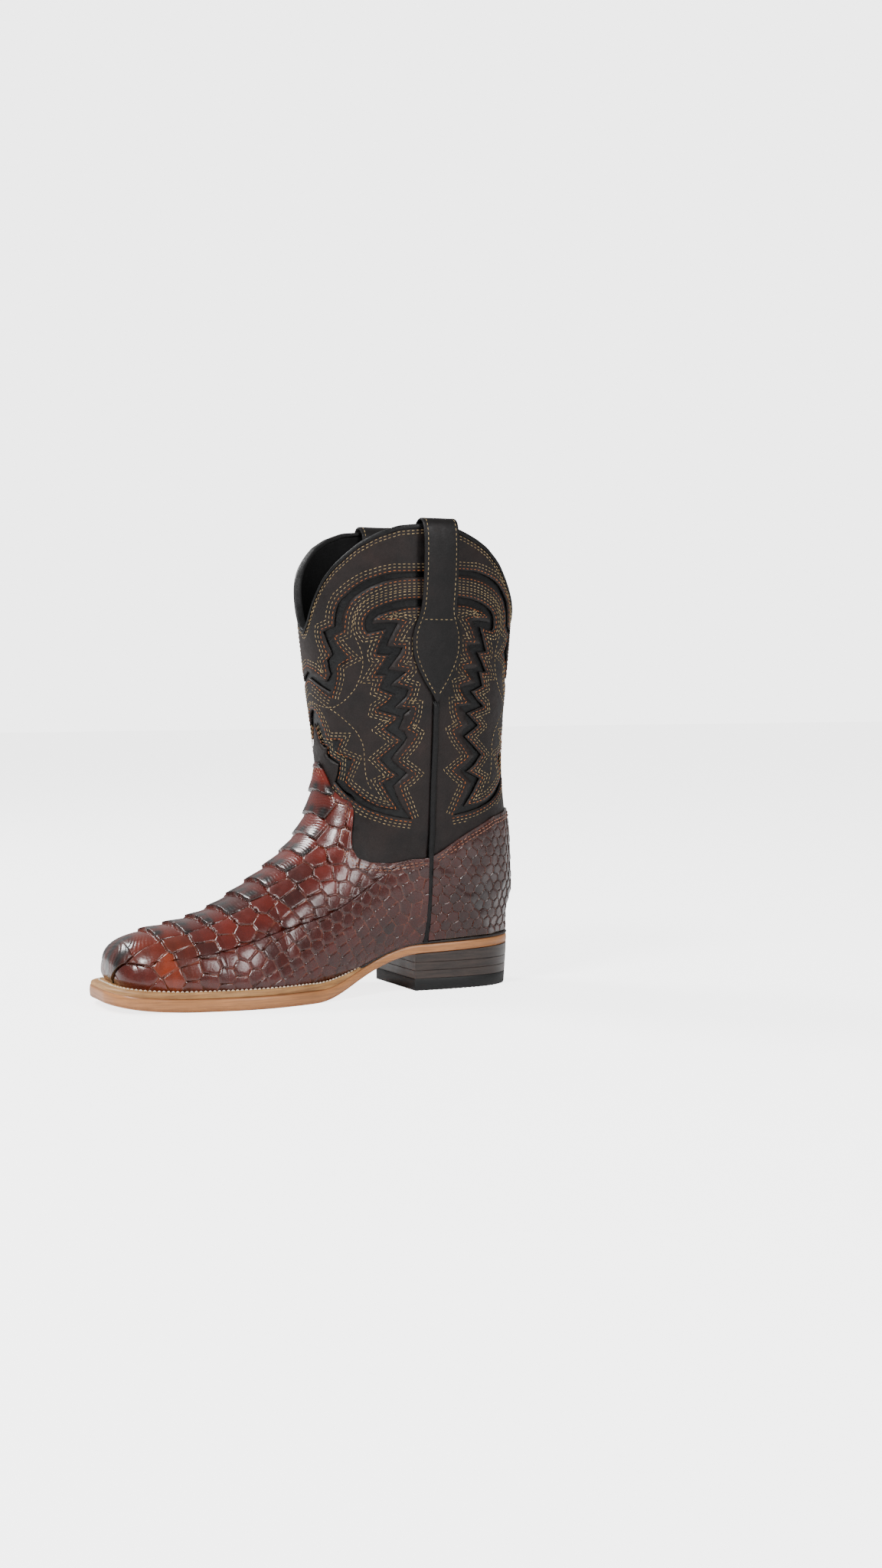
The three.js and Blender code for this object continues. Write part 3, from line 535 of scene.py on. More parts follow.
def rubberMaterial():
    material, tree, shader = newMaterial("liftRubber", rgb(30, 32, 34), 0.5, specular=0.45)
    place = objectPlace(tree)
    link(tree, rampOf(tree, noiseOf(tree, place, 70, 4.0), [(0.3, rgb(5, 5, 6)), (0.7, rgb(12, 13, 14))]),
         shader.inputs["Base Color"])
    link(tree, bumpOf(tree, noiseOf(tree, place, 3000, 3.0), 0.00005, 0.6), shader.inputs["Normal"])
    return material


rubberSkin = rubberMaterial()
print("boot: materials ready")


# ---- stitches ----
def offsetLine(points, distance, scale):
    # moves a line sideways, to its left for a positive distance, with mitred corners;
    # scale turns ways into mm
    p = np.asarray(points, float) * [scale, 1]
    d = unit(np.diff(p, axis=0))
    left = np.stack([-d[:, 1], d[:, 0]], -1)
    first = np.vstack([left[:1], left])
    second = np.vstack([left, left[-1:]])
    bisector = unit(first + second)
    cosine = np.maximum(np.sum(bisector * second, -1), 0.42)
    moved = p + bisector * (distance / cosine)[:, None]
    return moved / [scale, 1]


def densify(points, step):
    p = np.asarray(points, float)
    d = np.concatenate([[0], np.cumsum(np.linalg.norm(np.diff(p, axis=0), axis=1))])
    count = max(int(d[-1] / step), 2)
    t = np.linspace(0, d[-1], count + 1)
    t = np.sort(np.concatenate([t, d[1:-1]]))
    return np.stack([np.interp(t, d, p[:, k]) for k in range(p.shape[1])], -1)


def stitchMesh(rows, pitch=3.2, length=2.1, radius=0.24, sink=0.06, ringSides=6):
    # little pillows of thread, one per stitch, laid end to end along each row of (place, outward) points
    allPoints, allFaces, start = [], [], 0
    along = np.array([-0.5, -0.36, 0, 0.36, 0.5])
    fat = np.array([0.35, 0.85, 1.0, 0.85, 0.35])
    dip = np.array([-1.2, -0.25, 0.3, -0.25, -1.2])
    around = np.arange(ringSides) * 2 * np.pi / ringSides
    for place, out in rows:
        d = np.concatenate([[0], np.cumsum(np.linalg.norm(np.diff(place, axis=0), axis=1))])
        count = int(d[-1] / pitch)
        if count < 1:
            continue
        at = (np.arange(count) + 0.5) * d[-1] / count
        read = lambda q, values: np.stack([np.interp(q, d, values[:, k]) for k in range(3)], -1)
        middle, normal = read(at, place), unit(read(at, out))
        ahead = read(np.minimum(at + length * 0.45, d[-1]),
                     place) - read(np.maximum(at - length * 0.45, 0), place)
        ahead = unit(ahead - normal * np.sum(ahead * normal, -1, keepdims=True))
        beside = np.cross(normal, ahead)
        c = (middle[:, None, None] + ahead[:, None, None] * (along * length)[None, :, None, None]
             + normal[:, None, None] * ((dip * radius - sink)[None, :, None, None]
                                        + (fat[:, None] * np.sin(around)[None, :] * radius * 0.85)[None,
                                                                                                   ..., None])
             + beside[:, None, None] * (fat[:, None] * np.cos(around)[None, :] * radius)[None, ..., None])
        # end rings are closed by two quads laid across the first and the last ring
        ring = len(around)
        each = c.shape[1] * ring
        faces = gridFaces(c.shape[1], ring, aroundColumns=True)
        caps = np.array([[0, 1, 2, 5], [2, 3, 4, 5]])
        lastRing = each - ring
        faces = np.concatenate([faces, caps[:, ::-1], caps + lastRing])
        allFaces.append((faces[None] + (start + np.arange(count) * each)[:, None, None]).reshape(-1, 4))
        allPoints.append(c.reshape(-1, 3))
        start += count * each
    return np.concatenate(allPoints), np.concatenate(allFaces)


def legRow(line, out, step=0.8):
    dense = densify(line, step)
    place, normal = legFrame(dense[:, 0], dense[:, 1])
    return place + normal * out, normal


def sew(name, rows, material, slotName, **shape):
    points, faces = stitchMesh(rows, **shape)
    # every stitch is closed and small, so its faces are turned by comparing with its own middle
    away = points - stitchMiddles(points, shape.get("ringSides", 6))
    return bag(name, points, faces, material, facing=away)


def stitchMiddles(points, ringSides):
    each = 5 * ringSides
    return np.repeat(points.reshape(-1, each, 3).mean(axis=1), each, axis=0)


# ---- the pattern on the leg: lines of (way round, height), drawn for one half and mirrored ----
cutA1 = [(98, 278.6), (89, 278.6), (71.3, 277.6), (65, 276.4), (59.4, 274.6), (54, 272.8), (50.5, 271),
         (46.3, 268.3), (43.2, 265.9), (40.2, 263.2), (36.7, 260.3), (34.4, 257.3), (33, 254.3),
         (31.8, 250.8), (30.9, 246.5), (30.4, 242.6), (21.3, 239.4), (23.7, 232.9), (27.3, 224.5),
         (22.5, 220.7), (22.8, 216.2), (24.3, 211.4), (20.4, 206.7), (10, 210), (0, 214)]
cutA2 = [(0, 209.5), (8, 206.6), (14.5, 203.6), (23, 200), (26.5, 202.3), (28.2, 206.5), (29.4, 210.5),
         (29.4, 214.7), (30.8, 216.7), (34.9, 218.9), (38.3, 222.6), (36.2, 224.9), (33.2, 228.5),
         (30.8, 232.2), (29, 237.3), (36.2, 239.9), (36.5, 242), (36.2, 246), (37, 250.3), (38.8, 254),
         (42, 258.8), (46, 262.5), (50, 265.2), (54, 267.6), (58.8, 269.8), (64.3, 272), (70, 273.4),
         (75.5, 274.2), (80, 274.7), (98, 275.2)]
rowA1 = [(98, 279.6), (85, 279.3), (71.3, 279), (65, 277.8), (59.4, 276), (54, 274.2), (49.9, 272.1),
         (45.7, 269.5), (42.4, 267.1), (39.2, 264.4), (35.6, 261.4), (33.2, 257.9), (31.7, 254.9),
         (30.5, 251.3), (29.6, 246.5), (29.3, 243.9), (23.7, 242.1), (20.2, 241), (19.5, 238.2),
         (20.1, 234.6), (22.8, 226.9), (25.2, 223.9), (19.8, 220), (20.7, 216.8), (21.6, 212.6),
         (20.5, 208.7), (10, 215), (0, 217.5)]
rowA2 = [(98, 273.2), (84.7, 273), (75.5, 272.4), (70.1, 271.4), (64.8, 270.1), (59.4, 268), (54.6, 265.9),
         (51, 263.5), (46.9, 260.8), (43.3, 257.3), (41, 253.1), (39.8, 250.1), (38.9, 246), (38, 240.6),
         (37.7, 238.8), (33.8, 237.3), (30.5, 236.1), (32, 232.9), (34.4, 229.3), (37.4, 225.7),
         (41, 222.4), (35.6, 220), (32, 217.7), (30.8, 215.6), (30.8, 210.8), (29.6, 206.7), (27.9, 202.5),
         (25.8, 198.9), (24.9, 195.4)]
rowUnder = [(0, 207.2), (4.7, 205.9), (9.9, 203.6), (14.5, 201), (17.7, 198.8), (24, 195.8)]
rowOne = [(98, 267.6), (84.4, 267.4), (76.7, 266.5), (70.1, 265.5), (64.8, 264.1), (59.4, 262),
          (55.8, 260.8), (51.7, 258.5), (48.7, 255.5), (46.3, 251.9), (44.8, 248.3), (43.9, 244.8),
          (43.6, 240.6), (44.5, 237), (45.7, 233.5), (47.2, 229.9), (48.4, 225.7), (49, 221.5),
          (48.7, 216.8), (47.5, 212.6), (45.7, 207.9), (42.7, 202.5), (39.8, 199.5), (36.2, 196),
          (30.8, 192.4), (25, 190), (18, 190), (0, 193)]
rowTwo = [(0, 199.4), (4.7, 197.5), (9.9, 195.2), (14.5, 192.9), (17.7, 191), (23.6, 188), (27.5, 185.8),
          (31.4, 182.9), (36.6, 178.6), (40.5, 174.7), (43.1, 170.8), (45, 166.9), (46, 161.8), (46, 156.6),
          (46.3, 150.1), (46.9, 144.9), (48.9, 139.7), (51.5, 135.8)]
rowB = [(98, 262.2), (84.4, 262), (77.9, 261.5), (73.1, 260.8), (69.5, 259.8), (64.8, 258.5), (60.6, 256.7),
        (56.4, 254.6), (53.5, 252.2), (51.4, 250.1), (50.2, 247.7), (49.6, 244.8), (49.8, 240.6), (52, 237),
        (58.8, 238.2), (62.7, 239.1), (59.4, 231.7), (56.7, 225.1), (57, 223.6), (63.9, 223), (59.4, 216.8),
        (54.6, 209.9), (61.8, 209.9), (59.1, 204.3), (58.2, 201), (67.7, 197.6), (63.2, 193.6),
        (56.7, 189.4), (56, 187.1), (66.4, 184.5), (70.6, 183.2), (63.2, 178), (59.9, 175.4), (65.1, 172.1),
        (72.3, 168.2), (62.5, 161.1), (55.4, 155.9), (64.5, 147.8), (69, 145.2), (57.3, 140.6),
        (63.8, 131.9), (71.3, 123.4), (63.2, 124.4), (56.7, 126), (50.2, 128.6), (44.4, 131.6),
        (39.2, 134.8), (34.6, 137.7), (30.7, 141), (31.4, 143.6), (34, 148.1), (38.2, 155.6), (28.8, 158.8),
        (24.5, 159.8), (26.2, 163.7), (29.4, 169.2), (15.8, 169.2), (15.1, 172.1), (13.8, 176),
        (10.6, 182.5), (8, 185.8), (5.4, 188.1), (1.5, 189.7), (0, 190)]
cutB2 = [(0, 179), (2.8, 173.4), (4.7, 169.5), (6.7, 165.6), (10.6, 163.2), (13.8, 163), (12.5, 159.2),
         (14.5, 156.6), (24.2, 152.3), (23.6, 149.4), (22.3, 144.9), (20.6, 140.8), (27.5, 135.5),
         (34, 131.2), (40.5, 127.7), (47, 124.7), (53.4, 122.5), (59.9, 120.5), (66.4, 118.9),
         (72.9, 117.6), (84, 116), (80, 119.9), (75.5, 125.4), (71.6, 131.2), (68.4, 138), (74.2, 142.9),
         (78.8, 146.8), (72.9, 150), (66.4, 155.6), (69, 159.2), (74.9, 165), (78.8, 170), (76.8, 173.4),
         (72.3, 176), (75.8, 182.5), (76.2, 185), (81, 188.5), (69.7, 189.7), (73, 192.5), (78, 197),
         (80, 201.5), (75, 202.5), (67.4, 204.3), (70, 207), (78, 213), (72, 213.5), (66, 215), (70, 220),
         (74, 225), (76, 229), (65.4, 229.9), (66.5, 232.9), (68.3, 236.4), (70.7, 240.6), (73.1, 245.1),
         (67.1, 245.4), (56.4, 244.4), (57, 247.4), (60.6, 250.3), (69.5, 253.3), (77.9, 255.1),
         (86.8, 255.8), (98, 256)]
rowZig = [(85.3, 115.6), (82, 122.1), (79.4, 127.3), (76.2, 132.5), (73.9, 138.1), (76.8, 140.3),
          (81.4, 142.9), (85.3, 146.2), (80.7, 149.4), (75.5, 152.3), (71.9, 155.3), (76.8, 161.1),
          (81.4, 165.6), (84, 168.9), (85.9, 172.5), (82, 174.7), (78.4, 176), (80.1, 178), (82.7, 181.9),
          (84.3, 185.8), (84.9, 190.6), (80, 190.6), (75.5, 191.2), (78.5, 194.8), (81.4, 198.9),
          (82.6, 203.4), (77.3, 204.9), (72.5, 205.8), (77.3, 211.4), (80.2, 214.4), (80.2, 215.9),
          (72.8, 217.4), (74.9, 221.5), (77.6, 224.5), (77.9, 231.4), (70.4, 231.4), (71.3, 234.6),
          (73.1, 238.2), (75.5, 242.4), (78.5, 246.2), (74.3, 247.4), (69.5, 247.7), (60, 247.7),
          (65.4, 250.7), (69.5, 251.9), (75.5, 253.6), (80.2, 254.3), (98, 254.6)]
rowLow = [(20, 139.4), (22.9, 137.1), (27.5, 134.5), (31.4, 131.2), (36.6, 128.3), (43.1, 125.1),
          (48.9, 122.5), (54.7, 120.5), (59.9, 118.9), (66.4, 116.9), (72.9, 115.6), (80.1, 114.7),
          (85.3, 114)]
rowSmall = [(2.5, 177), (6.5, 168.5), (8.6, 166), (16, 165), (16, 159.5), (26.8, 154.6), (25.6, 147),
            (24, 142)]
wayToMm = 0.87

cutB1 = offsetLine(rowB, 1.4, wayToMm)
cutB1[[0, -1], 0] = [98, 0]
flip = np.array([-1, 1])


def halves(line, closing):
    # a hole that crosses the centre: out along one line, back along the other, both mirrored
    a, b = np.asarray(line, float), np.asarray(closing, float)
    return np.concatenate([a, (a * flip)[::-1][1:], (b * flip)[::-1], b[1:]])


holes = [halves(cutA1, cutA2), halves(cutB1, cutB2)]


def inside(points, polygon):
    # even-odd rule, one polygon edge at a time
    x, y = points[:, 0], points[:, 1]
    result = np.zeros(len(points), bool)
    for (x0, y0), (x1, y1) in zip(polygon, np.roll(polygon, -1, axis=0)):
        if y0 != y1:
            crosses = ((y0 > y) != (y1 > y)) & (x < (x1 - x0) * (y - y0) / (y1 - y0) + x0)
            result ^= crosses
    return result


shaft = {"leather": 1.4, "grid": 3.2, "edgeStep": 1.2, "lap": 9.0, "seamGap": 1.7}


def panel(name, back):
    # a flat outline with its cut-outs, cut into triangles and then laid on the leg
    lift = 2.0 if back else 0.0
    toWay = (lambda c: np.where(c >= 0, 200 - np.abs(c), np.abs(c) - 200)) if back else (lambda c: c)
    limit = 100 - shaft["seamGap"]
    c = np.linspace(-limit, limit, 220)
    low = np.stack([c, upperEdge(toWay(c)) - shaft["lap"]], -1)
    high = np.stack([c, topEdge(toWay(c)) - 0.1], -1)[::-1]
    leftSide = densify([high[-1], low[0]], 3)[1:-1]
    rightSide = densify([low[-1], high[0]], 3)[1:-1]
    outline = np.concatenate([low, rightSide, high, leftSide])
    loops = [outline] + [densify(np.vstack([h, h[:1]]) + [0, lift], shaft["edgeStep"])[:-1] for h in holes]
    verts, edges = [], []
    for loop in loops:
        start = len(verts)
        verts += [Vector(p) for p in loop]
        edges += [(start + k, start + (k + 1) % len(loop)) for k in range(len(loop))]
    gx, gz = np.meshgrid(np.arange(-limit + 1, limit, shaft["grid"] * 1.1), np.arange(78, 312, shaft["grid"]))
    inner = np.stack([gx.ravel(), gz.ravel()], -1)
    inner = inner[inside(inner, outline)]
    rim = np.concatenate(loops)
    near = np.array([np.min(np.hypot(*(rim - p).T)) for p in inner])
    verts += [Vector(p) for p in inner[near > 1.3]]
    flat, _, triangles, *_ = geometry.delaunay_2d_cdt(verts, edges, [], 0, 1e-4)
    flat = np.array([tuple(v) for v in flat])
    triangles = np.array([t for t in triangles if len(t) == 3])
    middles = flat[triangles].mean(axis=1)
    keep = inside(middles, outline)
    for hole in holes:
        keep &= ~inside(middles, hole + [0, lift])
    triangles = triangles[keep]
    used, triangles = np.unique(triangles, return_inverse=True)
    flat = flat[used]
    triangles = triangles.reshape(-1, 3)
    place, normal = legFrame(toWay(flat[:, 0]), flat[:, 1])
    piece = bag(name, place, triangles, shaftSkin, stands=[name.replace("panel", "shaft")],
                facing=normal, more=[edgeSkin])
    wall = piece.modifiers.new("thickness", "SOLIDIFY")
    wall.thickness = shaft["leather"] * mm
    wall.offset = -1
    wall.material_offset_rim = 1
    piece.data.set_sharp_from_angle(angle=math.radians(40))
    return piece


panel("panel_front", False)
panel("panel_back", True)
print("boot: leg panels cut")

# the black leather under the cut-outs, one skin round the front and one round the back
inlay = {"outside": -1.75, "leather": 0.9, "pitch": 2.0}
for word, back in (("front", False), ("back", True)):
    c = np.linspace(-98, 98, 130)
    way = np.where(c >= 0, 200 - np.abs(c), np.abs(c) - 200) if back else c
    low, high = upperEdge(way) + 4, np.minimum(284.5, topEdge(way) - 8)
    t = np.linspace(0, 1, 90)[:, None]
    heights = low + (high - low) * t
    ways = np.broadcast_to(way, heights.shape)
    outer = legPoint(ways, heights, np.full(heights.shape, inlay["outside"]))
    _, facing = legFrame(ways, heights)
    piece = bag("inlay_" + word, outer, gridFaces(*heights.shape), inlaySkin,
                stands=["inlay_%s_medial" % word, "inlay_%s_lateral" % word], facing=facing)
    wall = piece.modifiers.new("thickness", "SOLIDIFY")
    wall.thickness = inlay["leather"] * mm
    wall.offset = -1

# ---- rows of stitching on the leg ----
cream, gold = [], []


def sewBoth(line, shift, store, out=0.12, backToo=True, lift=2.0):
    # the same row on the inner and outer half, in front and behind
    moved = offsetLine(line, shift, wayToMm) if shift else np.asarray(line, float)
    moved = moved[(moved[:, 0] > -0.6)]
    for side in (1, -1):
        store.append(legRow(moved * [side, 1], out))
        if backToo:
            behind = np.stack([side * (200 - moved[:, 0]), moved[:, 1] + lift], -1)
            low = upperEdge(behind[:, 0]) + 6
            if np.all(behind[:, 1] > low):
                store.append(legRow(behind, out))
            else:
                for part in np.split(behind, np.flatnonzero(behind[:, 1] <= low)):
                    part = part[part[:, 1] > upperEdge(part[:, 0]) + 6]
                    if len(part) > 1:
                        store.append(legRow(part, out))


def triple(line, way, first, second):
    sewBoth(line, 0, gold)
    sewBoth(line, way * (first + 0.35), cream)
    sewBoth(line, way * (second + 0.8), cream)


triple(rowA1, -1, 1.8, 3.4)
triple(rowA2, 1, 1.6, 3.1)
triple(rowUnder, -1, 1.8, 3.5)
sewBoth(rowOne, 0, cream)
sewBoth(rowTwo, 0, cream)
triple(rowB, -1, 1.6, 3.1)
triple(rowZig, -1, 1.7, 3.2)
triple(rowLow, -1, 1.6, 3.1)
triple(rowSmall, 1, 1.5, 2.9)
edgeWays = np.linspace(-200, 200, 401)
for below in (3.4, 5.4):
    cream.append(legRow(np.stack([edgeWays, topEdge(edgeWays) - below], -1), 0.12))
sew("stitching_cream_leg", cream, creamThread, "shaft_leather")
sew("stitching_gold_leg", gold, goldThread, "shaft_leather")
print("boot: leg stitched")


# ---- the python vamp and counter ----
def cellsOf(points, seeds, ids):
    # for each point its nearest cell, the distance to it, and the distance to the next cell
    order = np.argsort(ids, kind="stable")
    seeds, ids = seeds[order], ids[order]
    starts = np.flatnonzero(np.r_[True, np.diff(ids) > 0])
    names = ids[starts]
    nearest = np.empty(len(points), int)
    d1, d2 = np.empty(len(points)), np.empty(len(points))
    squares = np.sum(seeds**2, -1)
    for a in range(0, len(points), 12000):
        p = points[a:a + 12000]
        d = np.sum(p**2, -1)[:, None] - 2 * p @ seeds.T + squares
        d = np.minimum.reduceat(d, starts, axis=1)
        two = np.argpartition(d, 1, axis=1)[:, :2]
        values = np.take_along_axis(d, two, 1)
        swap = values[:, 0] > values[:, 1]
        two[swap] = two[swap][:, ::-1]
        values = np.sort(values, axis=1)
        nearest[a:a + 12000] = names[two[:, 0]]
        d1[a:a + 12000], d2[a:a + 12000] = np.sqrt(np.maximum(values[:, 0],
                                                              0)), np.sqrt(np.maximum(values[:, 1], 0))
    return nearest, d1, d2


snake = {"scuteHalf": 14.5, "offset": 1.3, "rise": 1.55, "crease": 0.75, "rim": 0.35, "seed": 7}
chance = np.random.default_rng(snake["seed"])

ridgeRows = np.linspace(0, 16, 1600)
ridgePath = surface(ridgeRows, np.zeros(1600))
ridgeWalk = np.concatenate([[0], np.cumsum(np.linalg.norm(np.diff(ridgePath, axis=0), axis=1))])
scuteEdges = np.array([(-229, 40), (-212, 46), (-195, 48), (-179, 50.5), (-163.5, 56), (-149, 65),
                       (-136, 75), (-124, 85), (-111, 96), (-103, 106), (-97, 120), (-96, 136), (-94, 150),
                       (-94, 164)], float)


def walkAt(spot):
    return ridgeWalk[np.argmin(np.hypot(ridgePath[:, 1] - spot[0], ridgePath[:, 2] - spot[1]))]


scuteWalks = np.array([walkAt(s) for s in scuteEdges])
seedPlaces, seedIds, seedSizes, seedScute = [], [], [], []
denseTurns = np.linspace(0, 1, 400)
ringWalkRows = np.linspace(0.0, 15.6, 300)
for side in (1, -1):
    skin = surface(ringWalkRows[:, None], side * denseTurns[None, :])
    around = np.concatenate([np.zeros((300, 1)),
                             np.cumsum(np.linalg.norm(np.diff(skin, axis=1), axis=2), axis=1)], 1)
    # lines of scales at growing distance from the ridge; each is stepped along its own length
    lineAt, sizes = [28.5], [14.5]
    for size in (12.5, 11, 10, 9, 8.4, 8, 8, 8, 8, 8, 8, 8, 8, 8, 8, 8, 8, 8, 8, 8, 8, 8):
        lineAt.append(lineAt[-1] + (sizes[-1] + size) * 0.44)
        sizes.append(size)
    for number, (away, size) in enumerate(zip(lineAt, sizes)):
        reach = np.array([np.interp(away, around[r], denseTurns, right=2.0) for r in range(300)])
        ok = reach <= 1.0
        if ok.sum() < 4:
            continue
        rowsHere = ringWalkRows[ok]
        line = surface(rowsHere, side * reach[ok])
        d = np.concatenate([[0], np.cumsum(np.linalg.norm(np.diff(line, axis=0), axis=1))])
        if number == 0:
            ridge = np.interp(rowsHere, ridgeRows, ridgeWalk)
            middles = (scuteWalks[:-1] + scuteWalks[1:]) / 2 + 2.5
            steps = np.interp(middles[middles < ridge[-1]], ridge, d)
        else:
            gapHere = size * 1.12
            steps = np.arange((0.5 if number % 2 else 0.0) * gapHere, d[-1], gapHere)
        wobble = chance.normal(0, size * 0.05, (len(steps), 3))
        spots = np.stack([np.interp(steps, d, line[:, k]) for k in range(3)], -1) + wobble
        seedPlaces.append(spots)
        seedSizes += [size] * len(spots)
        seedScute += [False] * len(spots)
# where lines of scales crowd together the later ones are dropped
allSpots, kept = np.concatenate(seedPlaces), []
for k, spot in enumerate(allSpots):
    if not kept or np.min(np.linalg.norm(allSpots[kept] - spot, axis=1)) > 0.76 * seedSizes[k]:
        kept.append(k)
nextId = len(kept)
seedPlaces, seedSizes, seedScute = [allSpots[kept]], [seedSizes[k] for k in kept], [False] * nextId
seedIds = [np.arange(nextId)]
for k in range(len(scuteWalks) - 1):
    walk = (scuteWalks[k] + scuteWalks[k + 1]) / 2
    row = np.interp(walk, ridgeWalk, ridgeRows)
    half = snake["scuteHalf"] * (0.62 + 0.38 * ease((row - 0.5) / 3.0))
    turns = np.linspace(-1, 1, 1201)
    ring = surface(np.full(1201, row), turns)
    d = np.concatenate([[0], np.cumsum(np.linalg.norm(np.diff(ring, axis=0), axis=1))])
    d -= d[600]
    stations = np.linspace(-half, half, 11)
    # the scute bows a little toward the toe in its middle
    spots = np.stack([np.interp(stations, d, ring[:, a]) for a in range(3)], -1)
    seedPlaces.append(spots)
    seedIds.append(np.full(11, nextId + k))
    seedSizes.append(scuteWalks[k + 1] - scuteWalks[k])
    seedScute.append(True)
seedPlaces, seedIds = np.concatenate(seedPlaces), np.concatenate(seedIds)
cellCount = nextId + len(scuteWalks) - 1
cellMiddle = np.stack([np.bincount(seedIds, seedPlaces[:, a], cellCount) for a in range(3)], -1)
cellMiddle /= np.bincount(seedIds, minlength=cellCount)[:, None]
cellSize, cellScute = np.array(seedSizes, float), np.array(seedScute)
cellTone = chance.normal(0, 1, cellCount)
# dark blotches of the snake's own marking
blotches = np.array([(30, -235, 38), (12, -150, 62), (40, -190, 38), (38, -120, 60), (-30, -160, 50),
                     (36, -60, 50), (-35, -95, 70), (33, 10, 60), (-33, 0, 80), (20, 40, 70)], float)
cellBlotch = np.exp(-np.min(np.linalg.norm(cellMiddle[:, None] - blotches[None], axis=2), axis=1) ** 2 / 260)


def scaleSkinOf(points, heelward, fade, counter):
    # relief and colour of the scales: each rises behind its free toe-side edge and sinks toward the heel side
    nearest, d1, d2 = cellsOf(points, seedPlaces, seedIds)
    size, scute = cellSize[nearest], cellScute[nearest]
    border = (d2 - d1) / 2
    away = points - cellMiddle[nearest]
    t = np.clip(np.sum(away * heelward, -1) / size + 0.5, 0, 1)
    crease = snake["crease"] * np.where(scute, 0.8, 1.0) * np.clip(size / 10, 0.75, 1.2)
    wall = ease(border / (crease * np.where(t < 0.4, 0.55, 1.0)))
    amount = np.clip(size / 14, 0.45, 1.15) * np.where(scute, 1.35, 1.0) * snake["rise"] * fade
    slope = np.where(scute, 1.0 - 0.98 * t, 0.95 - 0.75 * t)
    height = amount * (slope * wall + 0.10 * np.sin(np.clip(border / size * 6, 0, 1.57)))
    # fine cross folds on the broad scales
    fold = np.sin(np.sum(away * heelward, -1) * 3.1 + 2 * np.sin(points[:, 0] * 0.35))
    height += np.where(scute, 0.06 * fold, 0) * fade
    toneValue = cellTone[nearest]
    red = np.array(rgb(92, 20, 7))
    amber = np.array(rgb(150, 58, 12))
    dark = np.array(rgb(9, 4, 4))
    side = np.array(rgb(62, 14, 6))
    brown = np.array(rgb(34, 11, 6))
    # line: the colour of the painted highlight laid along the scale borders
    line = np.array(rgb(128, 58, 28))
    toe = ease((-175 - points[:, 1]) / 50)
    base = red + (amber - red) * (0.55 * toe * ease((toneValue + 1.4) / 2.4))[:, None]
    small = ease((12.5 - size) / 4.5)
    base = base + (side - base) * (small * 0.8)[:, None]
    behind = ease((points[:, 1] + 70) / 90) * 0.8
    base = base + (brown - base) * (behind * (0.55 + 0.2 * counter))[:, None]
    base = base * (1 + 0.16 * toneValue)[:, None].clip(0.55, 1.5)
    blotch = cellBlotch[nearest] * ease((toneValue + 1.0) / 1.6) * 0.8
    base = base + (dark - base) * blotch[:, None]
    # on scutes the free half is dark and glossy, and the hinge side glows red-brown
    free = ease((0.56 - t) / 0.3) * np.where(scute, 1.0, 0.3)
    free = free * (0.75 + 0.25 * np.sin(points[:, 0] * 0.5 + toneValue * 5))
    base = base + (dark - base) * free.clip(0, 1)[:, None]
    # painted highlight: the scale borders lightened toward the line colour, most on each scale's heel side
    lit = (1 - ease(border / (crease * 0.75))) * np.where(scute, 0.35,
                                                          0.75 - 0.2 * counter) * (0.35 + 0.65 * t)
    base = base + (line - base) * lit[:, None]
    # painted shade: the scale borders darkened, most on each scale's toe side
    shade = (1 - ease(border / (crease * 1.2))) * np.where(t < 0.45, 0.75, 0.25)
    base = base * (1 - shade * 0.75)[:, None]
    return height, base.clip(0, 1)


def trimmedGrid(side, rowCount, columnCount):
    # columns run along the skin from the toe to the first row where it meets the cut line or the seam
    turns = side * np.linspace(0, 1, columnCount)
    probe = np.linspace(0, 17.2, 1400)
    web = surface(probe[:, None], turns[None, :])
    ways = wayOf(web, np.broadcast_to(turns, web.shape[:2]))
    above = np.where(web[..., 2] > 84, upperEdge(ways) - web[..., 2], 1.0)
    room = np.minimum(above, (seamY - 1.45) - web[..., 1])
    endRow = np.empty(columnCount)
    for j in range(columnCount):
        k = max(np.argmax(room[:, j] <= 0), 1)
        a, b = room[k - 1, j], room[k, j]
        endRow[j] = mix(probe[k - 1], probe[k], a / max(a - b, 1e-9))
    return turns, endRow * np.linspace(0, 1, rowCount)[:, None]


def skinPiece(name, place, normal, ways, counter, stands):
    heelward = unit(np.gradient(place, axis=1 if counter else 0))
    toEdge = np.where(place[..., 2] > 84, upperEdge(ways) - place[..., 2], 30.0)
    fade = 0.35 + 0.65 * ease((toEdge - 1) / 8)
    fade = fade * (0.3 + 0.7 * ease((place[..., 2] - feather(place[..., 1])) / 5))
    height, colour = scaleSkinOf(place.reshape(-1, 3), heelward.reshape(-1, 3), fade.reshape(-1), counter)
    height = height.reshape(place.shape[:2])
    outer = place + normal * (snake["offset"] + height)[..., None]
    colour = colour.reshape(place.shape)
    # turned-in rims close the skin down to the layer under it
    rim = place + normal * snake["rim"]
    top = np.concatenate([rim[:1], outer, rim[-1:]], 0)
    tints = np.concatenate([colour[:1] * 0.5, colour, colour[-1:] * 0.45], 0)
    facing = np.concatenate([normal[:1], normal, normal[-1:]], 0)
    piece = bag(name, top, gridFaces(*top.shape[:2]), scaleSkin, stands=stands, colours=tints,
                facing=facing)
    piece.data.set_sharp_from_angle(angle=math.radians(75))
    return piece


for side, word in ((1, "medial"), (-1, "lateral")):
    turns, rows = trimmedGrid(side, 430, 226)
    place = surface(rows, np.broadcast_to(turns, rows.shape))
    skinPiece("vamp_" + word, place, surfaceNormal(rows, turns),
              wayOf(place, np.broadcast_to(turns, rows.shape)),
              False, ["vamp"])
print("boot: vamp skinned")


